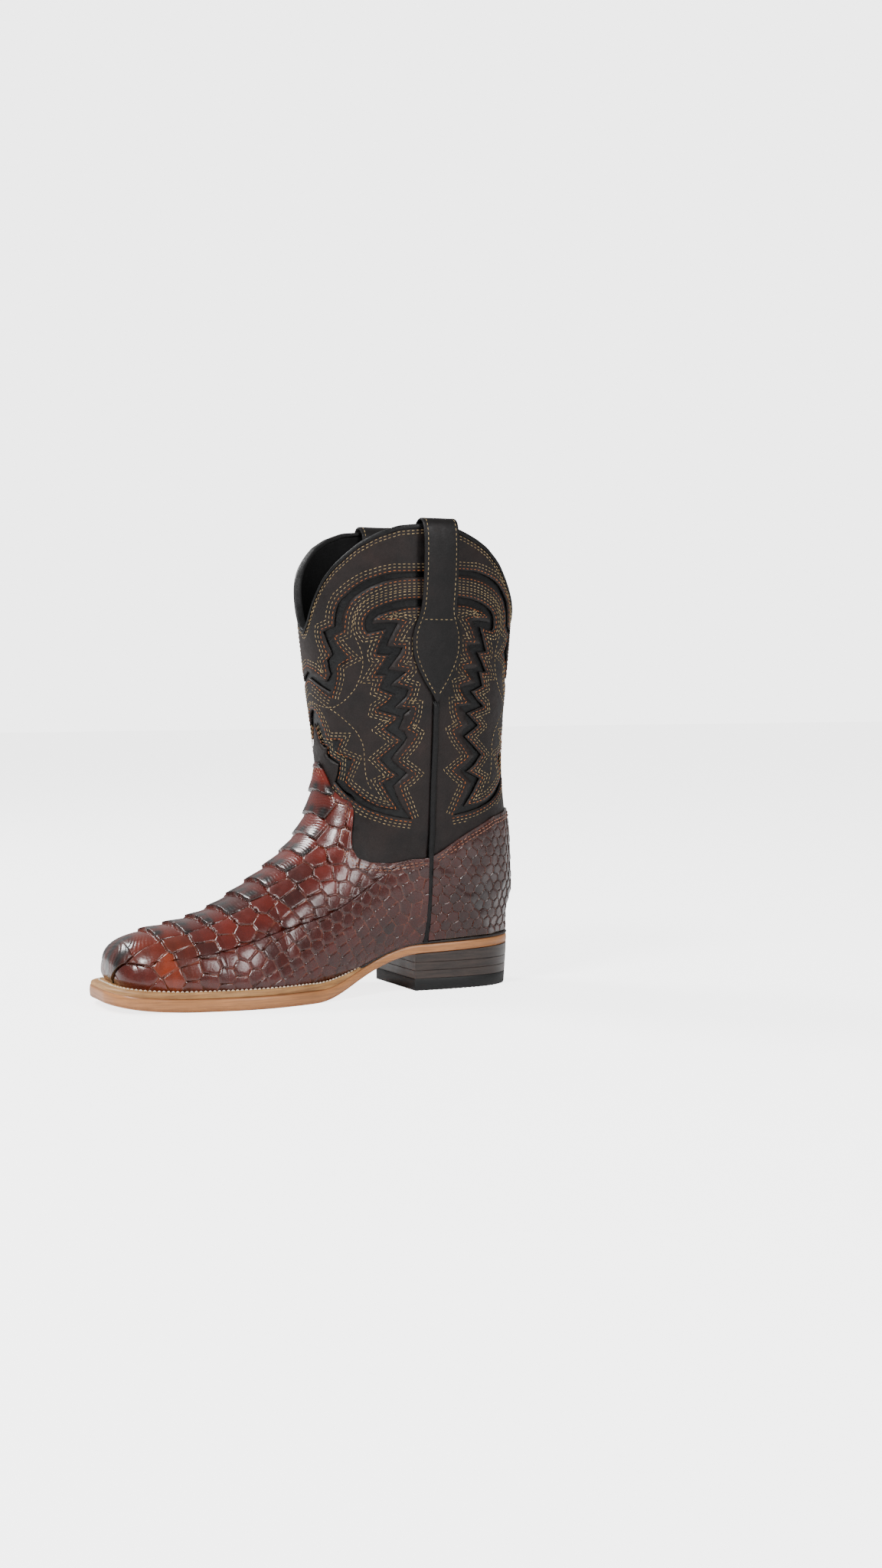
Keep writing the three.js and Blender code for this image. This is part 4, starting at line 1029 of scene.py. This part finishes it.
# the counter: a cup between the seam and the back, walked by its height above the sole
# and its share of the way back
def treeOf(name):
    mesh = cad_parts[name].data
    spots, corners = np.empty(len(mesh.vertices) * 3), np.empty(len(mesh.loops), np.int32)
    mesh.vertices.foreach_get("co", spots)
    mesh.loops.foreach_get("vertex_index", corners)
    return BVHTree.FromPolygons(spots.reshape(-1, 3).tolist(), corners.reshape(-1, 3).tolist())


def heelFan(side, levels, fan):
    # level rays fanned out from the seam's own line to the back centre find how far the heel reaches
    reach = np.full((len(levels), len(fan)), np.nan)
    for name, more in (("shaft_back", counterLeather), ("counter_cover", 0.0)):
        tree = treeOf(name)
        for k, level in enumerate(levels):
            for j, angle in enumerate(fan):
                away = np.array([side * math.cos(angle), math.sin(angle), 0.0])
                start = np.array([0, (seamY + 1.45) * mm, level * mm]) + away * 0.2
                found = tree.ray_cast(tuple(start), tuple(-away), 0.19)
                if found[0] is not None:
                    reach[k, j] = (0.2 - found[3]) / mm + more
    for j in range(1, len(fan)):
        known = np.isfinite(reach[:, j])
        reach[:, j] = np.interp(levels, levels[known], reach[known, j])
    reach[:, 0] = 2 * reach[:, 1] - reach[:, 2]
    return reach


def softened(values, width, axis):
    # running mean with a bell-shaped weight, its ends carried on straight
    bell = np.hanning(width + 2)[1:-1]
    pad = [(0, 0)] * values.ndim
    pad[axis] = (width // 2, width // 2)
    carried = np.pad(values, pad, "reflect", reflect_type="odd")
    return np.apply_along_axis(lambda v: np.convolve(v, bell / bell.sum(), "valid"), axis, carried)


def cupSections(side, shares):
    # each level section shared out evenly from the seam to the back centre
    coarseLevels, coarseFan = np.arange(37, 131, 3.0), np.linspace(0, np.pi / 2, 46)
    reach = heelFan(side, coarseLevels, coarseFan)
    reach = np.concatenate([reach, reach[:, -2:-12:-1]],
                           1)   # mirrored past the back so the back stays rounded
    levels, fan = np.linspace(34, 130, 193), np.linspace(0, np.pi / 2 * 55 / 45, 276)
    coarse = lookup(reach[..., None], np.interp(levels, coarseLevels, np.arange(len(coarseLevels)))[:, None]
                    + 0 * fan[None, :], np.linspace(0, 55, 276)[None, :] + 0 * levels[:, None])[..., 0]
    fine = softened(softened(coarse, 17, 0), 15, 1)[:, :226]
    fan = fan[:226]
    spots = np.stack([side * fine * np.cos(fan), seamY + 1.45 + fine * np.sin(fan),
                      np.broadcast_to(levels[:, None], fine.shape)], -1)
    places = np.empty((len(levels), len(shares), 3))
    for k in range(len(levels)):
        d = np.concatenate([[0], np.cumsum(np.linalg.norm(np.diff(spots[k], axis=0), axis=1))])
        for axis in range(3):
            places[k, :, axis] = np.interp(d[-1] * shares, d, spots[k, :, axis])
    return levels, places


def cupGrid(sections, heights):
    levels, places = sections
    columns = np.broadcast_to(np.arange(places.shape[1]), heights.shape).astype(float)
    level = seatTop + heights
    place = lookup(places, np.interp(level, levels, np.arange(len(levels))), columns)
    # low down the rim follows the waist of the sole
    level = level + (feather(place[..., 1]) - seatTop) * np.clip(1 - heights / 45, 0, 1)
    return lookup(places, np.interp(level, levels, np.arange(len(levels))), columns)


seatTop = 35.0         # height of the sole's top under the heel
counterLeather = 1.9
cupShares = np.linspace(0, 1, 330)
cupScales = {"size": 7.6}
cupSeeds, cupSides = [], []
for side, word in ((1, "medial"), (-1, "lateral")):
    # way round by share, then the cut line's height above the sole
    cupWays = 100 + 100 * cupShares
    topHeights = upperEdge(cupWays) - seatTop
    t = np.linspace(0, 1, 290)[:, None]
    sections = cupSections(side, cupShares)
    cupSides.append((word, side, cupGrid(sections, 0.8 + (topHeights[None, :] - 0.8) * t)))
    for n, level in enumerate(np.arange(3, 92, cupScales["size"] * 0.8)):
        spots = cupGrid(sections, np.full((1, len(cupShares)), level))[0]
        d = np.concatenate([[0], np.cumsum(np.linalg.norm(np.diff(spots, axis=0), axis=1))])
        steps = np.arange((0.5 if n % 2 else 0.0) * cupScales["size"], d[-1] - 1.5, cupScales["size"] * 1.1)
        seeds = np.stack([np.interp(steps, d, spots[:, k]) for k in range(3)], -1)
        cupSeeds.append(seeds + chance.normal(0, 0.45, seeds.shape))
cupSeeds = np.concatenate(cupSeeds)
seedPlaces, seedIds = cupSeeds, np.arange(len(cupSeeds))
cellMiddle, cellSize = cupSeeds, np.full(len(cupSeeds), cupScales["size"])
cellScute = np.zeros(len(cupSeeds), bool)
cellTone = chance.normal(0, 1, len(cupSeeds))
cellBlotch = np.exp(-np.min(np.linalg.norm(cellMiddle[:, None] - blotches[None], axis=2), axis=1) ** 2 / 260)
for word, side, place in cupSides:
    normal = unit(np.cross(np.gradient(place, axis=1), np.gradient(place, axis=0)) * side)
    normal[:, -1, 0] = 0
    normal = unit(normal)
    ways = 100 + 100 * np.broadcast_to(cupShares, place.shape[:2])
    skinPiece("counter_" + word, place - counterLeather * normal, normal, ways, True, ["counter_cover"])
print("boot: counter skinned")


# double rows of stitching along the top of the vamp and the counter
def upperRow(start, end, below, out):
    # walks the cut line at even length and steps down from it along the skin
    way = np.linspace(start, end, 700)
    height = upperEdge(way)
    here = np.stack([np.cumsum(np.r_[0, np.abs(np.diff(way))]) * wayToMm, height], -1)
    d = unit(np.gradient(here, axis=0))
    kernel = np.hanning(15) / np.hanning(15).sum()
    d = np.stack([np.convolve(np.pad(d[:, k], 7, "edge"), kernel, "valid") for k in (0, 1)], -1)
    d = unit(d)
    down = np.stack([d[:, 1], -d[:, 0]], -1) * below
    place, normal = legFrame(way + down[:, 0] / wayToMm, height + down[:, 1])
    return place + normal * out, normal


vampRows = []
for below, out in ((2.8, 1.95), (4.8, 2.1)):
    vampRows.append(upperRow(-97.5, 97.5, below, out))
    for a, b in ((102.5, 199.9), (-199.9, -102.5)):
        vampRows.append(upperRow(a, b, below, out))
sew("stitching_vamp_edge", vampRows, brownThread, "reptile_leather", radius=0.28)
print("boot: vamp stitched")


# ---- binding, piping and pull straps ----
binding = {"reach": 2.2, "out": 0.75, "inside": -4.6, "over": 0.75}


def topBinding():
    # a folded strip over the top edge: its section is a tall arch, carried right round the leg
    way = np.linspace(-200, 200, 521)[:-1]
    edge = topEdge(way)
    out, inn, up, down = binding["out"], binding["inside"], binding["over"], -binding["reach"]
    section = np.array([(out - 0.5, down), (out - 0.1, down + 0.1), (out, down + 0.6), (out, up * 0.2),
                        (out - 0.35, up * 0.8), (out - 1.3, up), ((out + inn) / 2, up + 0.1),
                        (inn + 1.3, up), (inn + 0.35, up * 0.8), (inn, up * 0.2), (inn, down + 0.6),
                        (inn + 0.1, down + 0.1), (inn + 0.5, down)])
    ways = np.broadcast_to(way[:, None], (len(way), len(section)))
    heights = edge[:, None] + section[None, :, 1]
    points = legPoint(ways, heights, np.broadcast_to(section[None, :, 0], ways.shape))
    return bag("binding_top", points, gridFaces(len(way), len(section), aroundRows=True, aroundColumns=True),
               trimSkin, stands=["top_binding"])


topBinding()
piping = {"half": 1.9, "crown": 0.9}


def pipingStrip(side, word):
    # a rounded strip down the side seam: its middle line by level rays,
    # its section a low arch with two pressed lines
    tree = treeOf("side_piping_" + word)
    foot = feather(seamY)
    levels = np.linspace(foot - 0.4, 199, 330)
    reach = np.full(len(levels), np.nan)
    for k, level in enumerate(levels):
        found = tree.ray_cast((side * 0.2, seamY * mm, level * mm), (-side, 0, 0), 0.19)
        if found[0] is not None:
            reach[k] = (0.2 - found[3]) / mm
    known = np.isfinite(reach)
    reach = softened(np.interp(levels, levels[known], reach[known]), 11, 0)
    u = np.linspace(-1, 1, 13)
    fall = piping["crown"] * (1 - np.sqrt(np.maximum(1 - u**2,
                                                     0))) + 0.35 * np.exp(-((np.abs(u) - 0.45) / 0.12) ** 2)
    across = lambda depth: np.stack([side * (reach[:, None] - depth[None, :]),
                                     np.broadcast_to(seamY + u * piping["half"], (len(levels), 13)),
                                     np.broadcast_to(levels[:, None], (len(levels), 13))], -1)
    outer, inner = across(fall - 0.15), across(np.full(13, 2.8))
    loops = np.concatenate([outer, inner[:, ::-1]], 1)
    points, faces = tube(loops)
    return bag("piping_" + word, points, faces, trimSkin, stands=["side_piping_" + word])


strap = {"half": 12.5, "leather": 1.9, "bow": 6.6, "top": 313.7}
patchWidths = np.array([(193.7, 0.6), (198, 3.2), (203.7, 7), (207.5, 9.4), (211.7, 11.6), (216, 13.8),
                        (220.7, 15.7), (225, 17), (229.7, 17.7), (236.7, 17.6), (241, 16.7), (244.7, 15.5),
                        (248, 14.4), (251.7, 13.3), (256, 12.6), (262, 12.5)])


def legSide(side, y, z):
    # x of the leg's side at a given y and height
    row = np.linspace(12, 24, 900)
    s = spline(ringRows, row / topRow)
    share = (np.asarray(y, float)[..., None] - s[:, 2]) / (s[:, 0] - s[:, 2])
    heights = mix(s[:, 3], s[:, 1], share)
    index = np.argmin(np.abs(heights - np.asarray(z, float)[..., None]), axis=-1)
    picked = np.take_along_axis(share, index[..., None], -1)[..., 0]
    width = s[:, 4 if side > 0 else 5][index]
    return side * width * np.maximum(1 - (2 * picked - 1) ** 2, 0) ** 0.45


def strapPath():
    # centre line in (distance out from the leg, height):
    # up the patch, off the leg, over the edge and down inside
    knots = np.array([(1.2, 193.7), (1.2, 205), (1.2, 218), (1.2, 230), (1.2, 240), (1.3, 246), (2.2, 253),
                      (4.1, 262), (6.0, 275), (6.6, 290), (6.3, 302), (4.6, 310), (1.0, 312.9),
                      (-3.5, 312.9), (-8.2, 309.5), (-10.2, 303), (-9.6, 293), (-7.6, 281), (-6.3, 273),
                      (-6.1, 267)])
    return spline(knots, np.linspace(0, 1, 260))


def pullStrap(side, word):
    path = strapPath()
    way = unit(np.gradient(path, axis=0))
    half = np.where((path[:, 0] > 0) & (np.arange(len(path)) < 150),
                    np.interp(path[:, 1], patchWidths[:, 0], patchWidths[:, 1]), strap["half"])
    u = np.linspace(-1, 1, 33)
    thick = strap["leather"] / 2
    rim = thick * (1 - np.maximum(np.abs(u) - 0.93, 0) ** 2 / 0.07**2 * 0.55)
    faces = []
    for sign, line in ((1, u), (-1, u[::-1])):
        y = seamY + half[:, None] * line[None, :]
        rimNow = rim if sign > 0 else rim[::-1]
        height = path[:, 1][:, None] + sign * way[:, 0][:, None] * -1 * rimNow[None, :]
        out = path[:, 0][:, None] + sign * way[:, 1][:, None] * rimNow[None, :]
        x = legSide(side, y, np.minimum(height, 313)) + side * out
        faces.append(np.stack([x, y, height], -1))
    loops = np.concatenate(faces, 1)
    points, quads = tube(loops)
    piece = bag("strap_" + word, points, quads, strapSkin, stands=["pull_strap_" + word])
    piece.data.set_sharp_from_angle(angle=math.radians(50))
    # stitch rows: along both edges of the patch and the loop, and one level row under the loop
    rows = []
    outer = faces[0]
    outward = unit(np.cross(np.gradient(outer, axis=1), np.gradient(outer, axis=0)))
    if np.mean(outward[:100, 16, 0]) * side < 0:
        outward = -outward
    for edge in (-1, 1):
        share = edge * (1 - 2.4 / np.maximum(half, 3.0))
        keep = half > 3.2
        index = (share + 1) * 16
        low = np.clip(index.astype(int), 0, 31)
        f = (index - low)[:, None]
        k = np.arange(len(path))
        line = outer[k, low] * (1 - f) + outer[k, low + 1] * f
        normal = outward[k, low]
        sel = np.flatnonzero(keep & (k < 245))
        rows.append((line[sel] + normal[sel] * 0.1, normal[sel]))
    level = np.argmin(np.abs(path[:150, 1] - 247.5))
    rows.append((outer[level, 4:29] + outward[level, 4:29] * 0.12, outward[level, 4:29]))
    return rows


strapRows = []
for side, word in ((1, "medial"), (-1, "lateral")):
    pipingStrip(side, word)
    strapRows += pullStrap(side, word)
sew("stitching_straps", strapRows, creamThread, "trim_leather")
print("boot: straps made")

# ---- linings ----
t = np.linspace(0, 1, 60)[:, None]
for word, back in (("front", False), ("back", True)):
    c = np.linspace(-99.9, 99.9, 121)
    way = np.where(c >= 0, 200 - np.abs(c), np.abs(c) - 200) if back else c
    low, high = upperEdge(way) - 4.5, topEdge(way) - 0.2
    heights = low + (high - low) * t
    ways = np.broadcast_to(way, heights.shape)
    points = legPoint(ways, heights, np.full(heights.shape, -3.0))
    _, facing = legFrame(ways, heights)
    piece = bag("lining_" + word, points, gridFaces(*heights.shape), liningSkin,
                stands=["shaft_lining_" + word], facing=facing)
    wall = piece.modifiers.new("thickness", "SOLIDIFY")
    wall.thickness = 1.2 * mm
    wall.offset = -1


# ---- the bottom ----
def roundLoop(count):
    # one closed walk round the last: outer side from heel to toe, then inner side back to the heel
    t = np.linspace(0, 1, count)
    inner, outer = spline(innerLast, t), spline(outerLast, t)
    front = np.stack([np.linspace(outer[0, 0], inner[0, 0], 22)[1:-1], np.full(20, -234.0)], -1)
    loop = np.concatenate([outer[::-1], front, inner[:-1]])
    tangent = unit(np.roll(loop, -1, axis=0) - np.roll(loop, 1, axis=0))
    normal = np.stack([tangent[:, 1], -tangent[:, 0]], -1)
    # soften the turn at the toe corners
    kernel = np.array([0.25, 0.5, 0.25])
    for _ in range(6):
        normal = unit(kernel[0] * np.roll(normal, 1, 0) + kernel[1] * normal + kernel[2] * np.roll(normal,
                                                                                                   -1, 0))
    return loop, normal


walkLoop, walkNormal = roundLoop(300)


def soleRing(distance):
    # the plan moved outward; distance may depend on y
    return walkLoop + walkNormal * (distance(walkLoop[:, 1]) if callable(distance) else distance)[..., None]


def opposite():
    # for each place on the loop, the middle of the foot at the same station
    n = 300
    outer, inner = walkLoop[:n][::-1], np.concatenate([walkLoop[n + 20:], walkLoop[:1]])
    middle = (outer + inner) / 2
    middle[:, 1] = np.maximum(middle[:, 1], -226)
    return np.concatenate([middle[::-1], np.broadcast_to(middle[0], (20, 2)), middle[:-1]])


middles = opposite()
outsole = {"grooveA": 9.0, "grooveB": 12.5, "grooveDepth": 0.7, "grooveWidth": 0.55}


def makeOutsole():
    # profile from the middle of the bottom out to the edge, up the burnished side and in again over the top
    edge = soleRing(soleEdgeWidth)
    inwards = np.concatenate([np.linspace(0, 0.9, 46), np.linspace(0.905, 1, 26)])
    flat = edge[:, None] + (middles - edge)[:, None] * (1 - inwards)[None, :, None]
    flat = flat.transpose(1, 0, 2)
    z = soleBottom(flat[..., 1])
    fromEdge = np.linalg.norm(flat - edge[None], axis=-1)
    forefoot = ease((-118 - flat[..., 1]) / 4)
    groove = sum(np.exp(-((fromEdge - outsole[each]) / outsole["grooveWidth"]) ** 2)
                 for each in ("grooveA", "grooveB"))
    z = z + outsole["grooveDepth"] * groove * forefoot + 0.7 * ease((1.3 - fromEdge) / 1.3)
    bottom = np.concatenate([flat, z[..., None]], -1)
    peach, tan, burnt = np.array(rgb(225, 152, 104)), np.array(rgb(186, 126, 76)), np.array(rgb(120, 70, 40))
    colour = peach + (tan - peach) * (0.75 * ease((4 - fromEdge) / 4))[..., None]
    colour = colour + (np.array(rgb(58, 34, 22)) - colour) * (0.85 * np.clip(groove * forefoot, 0,
                                                                             1))[..., None]
    side, sideTint = [], []
    low, high = soleBottom(edge[:, 1]), soleTop(edge[:, 1])
    edgeSection = [(0.12, -0.1), (0.3, 0.15), (0.5, 0.25), (0.7, 0.15), (0.86, -0.05), (0.94, -0.45),
                   (1.0, -1.0)]
    for k, (up, bulge) in enumerate(edgeSection):
        ring = edge + walkNormal * bulge
        side.append(np.concatenate([ring, (mix(low, high, up) - (0.05 if up == 1 else 0))[:, None]], -1))
        sideTint.append(np.broadcast_to(tan + (burnt - tan) * (0.55 if k in (0, 5, 6) else 0.1),
                                        (len(edge), 3)))
    top = []
    for share in (0.75, 0.4, 0.0):
        ring = middles + (edge - middles) * share
        top.append(np.concatenate([ring, soleTop(ring[:, 1])[:, None]], -1))
    points = np.concatenate([bottom, np.array(side), np.array(top)])
    tints = np.concatenate([colour, np.array(sideTint), np.broadcast_to(tan, (3, len(edge), 3))])
    piece = bag("sole_leather", points, gridFaces(*points.shape[:2], aroundColumns=True), soleSkin,
                stands=["outsole"], colours=tints, facing=None)
    return piece


makeOutsole()


def weltBand():
    # a strip round the forefoot with a crowned top, a stitch channel and an upright edge
    keep = (walkLoop[:, 1] < -70)
    index = np.flatnonzero(keep)
    loop, normal = walkLoop[index], walkNormal[index]
    width = soleEdgeWidth(loop[:, 1]) - 0.5
    y = loop[:, 1]
    low, high = soleTop(y) + 0.1, feather(y)
    section = [(-8, 0, 0.0), (-8, 1, -0.2), (-1.5, 1, -0.2), (0.2, 1, -0.25), (1.0, 1, -0.05),
               (0.35, 1, 0.0, 1), (0.62, 1, 0.0, 1), (0.85, 1, -0.1, 1), (0.96, 1, -0.55, 1),
               (1.0, 0.6, 0, 1), (1.0, 0.3, 0, 1), (0.98, 0.08, 0, 1), (0.94, 0, 0, 1)]
    rings = []
    for part in section:
        out = part[0] * width if len(part) > 3 else np.full(len(y), float(part[0]))
        ring = loop + normal * out[:, None]
        rings.append(np.concatenate([ring, (mix(low, high, part[1]) + part[2])[:, None]], -1))
    loops = np.array(rings).transpose(1, 0, 2)
    points, faces = tube(loops)
    bag("welt_band", points, faces, edgeWelt, stands=["welt"])
    share = 0.52
    ring = loop + normal * (width * share)[:, None]
    place = np.concatenate([ring, (high + 0.3)[:, None]], -1)
    up = np.broadcast_to(np.array([0.0, 0, 1]), place.shape)
    return [(place, up)]


sew("stitching_welt", weltBand(), whiteThread, "welt_leather", pitch=2.9, length=2.3, radius=0.62)


def heelRand():
    # a thin dark bead between the upper and the sole at the waist and round the heel seat
    index = np.flatnonzero(walkLoop[:, 1] > -78)
    order = np.concatenate([index[index >= 320], index[index < 300]])
    loop, normal = walkLoop[order], walkNormal[order]
    y = loop[:, 1]
    low, high = soleTop(y) + 0.05, feather(y) + 0.15
    section = [(-7, 0), (-7, 1), (0.4, 1.05), (1.5, 0.95), (1.95, 0.5), (1.5, 0.05), (0.4, 0)]
    rings = [np.concatenate([loop + normal * out, mix(low, high, up)[:, None]], -1) for out, up in section]
    points, faces = tube(np.array(rings).transpose(1, 0, 2))
    bag("rand_heel", points, faces, randSkin, stands=["heel_rand"])


heelRand()
heel = {"total": 25.0, "lift": 8.0, "taper": 1.5, "ribs": 1.7, "ribDepth": 0.45}


def heelPlan(z, count=220):
    # the seat's outline behind the breast, drawn in a little toward the floor
    edge = soleRing(soleEdgeWidth)
    shrink = heel["taper"] * (1 - z / heel["total"])
    ring = edge - walkNormal * shrink
    order = np.concatenate([np.arange(320, len(ring)), np.arange(0, 300)])
    ring = ring[order]
    ring = ring[ring[:, 1] > breastY]
    ring = np.vstack([[ring[0, 0], breastY], ring, [ring[-1, 0], breastY]])
    front = densify([ring[-1], ring[0]], 2.0)[1:-1]
    around = np.concatenate([ring, front])
    d = np.concatenate([[0], np.cumsum(np.linalg.norm(np.diff(np.vstack([around, around[:1]]), axis=0),
                                                      axis=1))])
    closed = np.vstack([around, around[:1]])
    t = np.linspace(0, d[-1], count, endpoint=False)
    return np.stack([np.interp(t, d, closed[:, k]) for k in (0, 1)], -1)


def stackPiece(name, levels, material, stands):
    # rings stacked from low to high, closed by rings that shrink to the middle
    rings = []
    for z, inset in levels:
        ring = heelPlan(z)
        middle = ring.mean(axis=0)
        ring = ring + unit(middle - ring) * inset
        height = np.full(len(ring), z) if z < heel["total"] - 0.3 else soleBottom(ring[:, 1]) - 0.1
        rings.append(np.concatenate([ring, height[:, None]], -1))
    rings = np.array(rings)
    caps = []
    for ring in (rings[0], rings[-1]):
        middle = ring.mean(axis=0)
        caps.append([middle + (ring - middle) * share for share in (0.0, 0.5)])
    points = np.concatenate([np.array(caps[0]), rings, np.array(caps[1][::-1])])
    piece = bag(name, points, gridFaces(*points.shape[:2], aroundColumns=True), material,
                stands=stands)
    piece.data.set_sharp_from_angle(angle=math.radians(38))
    return piece


lifts = []
edges = np.linspace(heel["lift"] + 0.1, heel["total"], 4)
for low, high in zip(edges[:-1], edges[1:]):
    lifts += [(low + 0.02, 0.35), (low + 0.25, 0.05), (low + 1.4, 0.0), (high - 1.4, 0.0),
              (high - 0.25, 0.05), (high - 0.02, 0.35)]
stackPiece("heel_stack", lifts, heelSkin, ["heel_lift_1", "heel_lift_2", "heel_lift_3"])


def topLift():
    # rubber lift: upright wall, and a sole face ribbed across
    count, steps = 220, 90
    wall = [(heel["lift"], 0.25), (heel["lift"] - 0.4, 0.0), (4, 0.0), (1.0, 0.0), (0.5, 0.15)]
    rings = [np.concatenate([heelPlan(z) + unit(heelPlan(z).mean(axis=0) - heelPlan(z)) * inset,
                             np.full((count, 1), z)], -1) for z, inset in wall]
    base = heelPlan(0.0)
    middle = np.array([0.0, 4.0])
    inner = []
    for share in np.linspace(0.99, 0, steps):
        ring = middle + (base - middle) * share
        wave = 0.5 + 0.5 * np.sin(ring[:, 1] * 2 * np.pi / heel["ribs"])
        inner.append(np.concatenate([ring, (0.02 + heel["ribDepth"] * wave**2)[:, None]], -1))
    top = rings[0].mean(axis=0)
    caps = [top + (rings[0] - top) * share for share in (0.0, 0.5)]
    points = np.concatenate([np.array(caps), np.array(rings), np.array(inner)])
    piece = bag("top_lift_rubber", points, gridFaces(*points.shape[:2], aroundColumns=True), rubberSkin,
                stands=["top_lift"])
    piece.data.set_sharp_from_angle(angle=math.radians(35))


topLift()
print("boot: bottom made")

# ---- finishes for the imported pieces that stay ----
finishes = {"toe_box": boardSkin, "heel_stiffener": boardSkin, "insole": insoleSkin, "insole_rib": insoleSkin,
            "sock_liner": footSkin, "cork_filler": corkSkin, "steel_shank": steelMetal,
            "vamp_lining": liningSkin}
for name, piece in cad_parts.items():
    finish = finishes.get(name)
    if "nail" in name:
        finish = steelMetal
    if "peg" in name:
        finish = pegSkin
    if finish is None:
        finish = trimSkin
    piece.data.materials.clear()
    piece.data.materials.append(finish)

# ---- floor, light and camera ----
floorMaterial, floorTree, floorShader = newMaterial("paleFloor", (0.95, 0.95, 0.95), 0.6, specular=0.2)
floorCloud = noiseOf(floorTree, objectPlace(floorTree), 6, 3.0)
link(floorTree, rampOf(floorTree, floorCloud, [(0.3, grey(0.93)), (0.7, grey(0.96))]),
     floorShader.inputs["Base Color"])
floorMesh = bpy.data.meshes.new("floor")
floorMesh.from_pydata([(-6, -6, 0), (6, -6, 0), (6, 6, 0), (-6, 6, 0)], [], [(0, 1, 2, 3)])
floorMesh.materials.append(floorMaterial)
floor = bpy.data.objects.new("floor", floorMesh)
bpy.context.scene.collection.objects.link(floor)
# the floor is seen nearly white, and throws less light back up than it shows
floorTree = floor.data.materials[0].node_tree
floorGlow = node(floorTree, "ShaderNodeEmission")
floorGlow.inputs["Strength"].default_value = 3.2
floorSum, floorMix = node(floorTree, "ShaderNodeAddShader"), node(floorTree, "ShaderNodeMixShader")
floorRays = node(floorTree, "ShaderNodeLightPath")
floorShader = floorTree.nodes["Principled BSDF"].outputs["BSDF"]
link(floorTree, floorShader, floorSum.inputs[0])
link(floorTree, floorGlow.outputs["Emission"], floorSum.inputs[1])
link(floorTree, floorRays.outputs["Is Camera Ray"], floorMix.inputs["Fac"])
link(floorTree, floorShader, floorMix.inputs[1])
link(floorTree, floorSum.outputs["Shader"], floorMix.inputs[2])
link(floorTree, floorMix.outputs["Shader"], floorTree.nodes["Material Output"].inputs["Surface"])

world = bpy.data.worlds.new("studio")
bpy.context.scene.world = world
world.use_nodes = True
world.node_tree.nodes["Background"].inputs["Color"].default_value = (1, 1, 1, 1)
world.node_tree.nodes["Background"].inputs["Strength"].default_value = 0.42
# the studio wall is bright to look at but gives little light of its own
seenWall = node(world.node_tree, "ShaderNodeBackground")
seenWall.inputs["Strength"].default_value = 5.0
wallMix, rays = node(world.node_tree, "ShaderNodeMixShader"), node(world.node_tree, "ShaderNodeLightPath")
link(world.node_tree, rays.outputs["Is Camera Ray"], wallMix.inputs["Fac"])
link(world.node_tree, world.node_tree.nodes["Background"].outputs["Background"], wallMix.inputs[1])
link(world.node_tree, seenWall.outputs["Background"], wallMix.inputs[2])
link(world.node_tree, wallMix.outputs["Shader"], world.node_tree.nodes["World Output"].inputs["Surface"])


def softbox(name, place, aim, size, power):
    data = bpy.data.lights.new(name, "AREA")
    data.shape = "RECTANGLE"
    data.size, data.size_y = size
    data.energy = power
    lamp = bpy.data.objects.new(name, data)
    bpy.context.scene.collection.objects.link(lamp)
    lamp.location = place
    lamp.rotation_euler = (Vector(aim) - Vector(place)).to_track_quat("-Z", "Y").to_euler()


softbox("key", (0.9, -1.5, 1.7), (0, -0.08, 0.15), (0.5, 0.5), 46)
softbox("fill", (1.7, 0.5, 1.1), (0, -0.05, 0.15), (0.35, 1.0), 16)
softbox("back", (-1.2, -0.9, 1.6), (0, -0.05, 0.2), (0.6, 0.6), 34)

cameraData = bpy.data.cameras.new("camera")
cameraData.sensor_width = 36
cameraData.sensor_fit = "AUTO"
cameraData.lens = 2800 / 2048 * 36
camera = bpy.data.objects.new("camera", cameraData)
bpy.context.scene.collection.objects.link(camera)
camera.location = (1.3215, -0.6357, 0.2142)
pitch = math.radians(3.03)
azimuth = math.radians(64.3)
look = Vector((-math.sin(azimuth) * math.cos(pitch), math.cos(azimuth) * math.cos(pitch), -math.sin(pitch)))
camera.rotation_euler = look.to_track_quat("-Z", "Y").to_euler()
bpy.context.scene.camera = camera
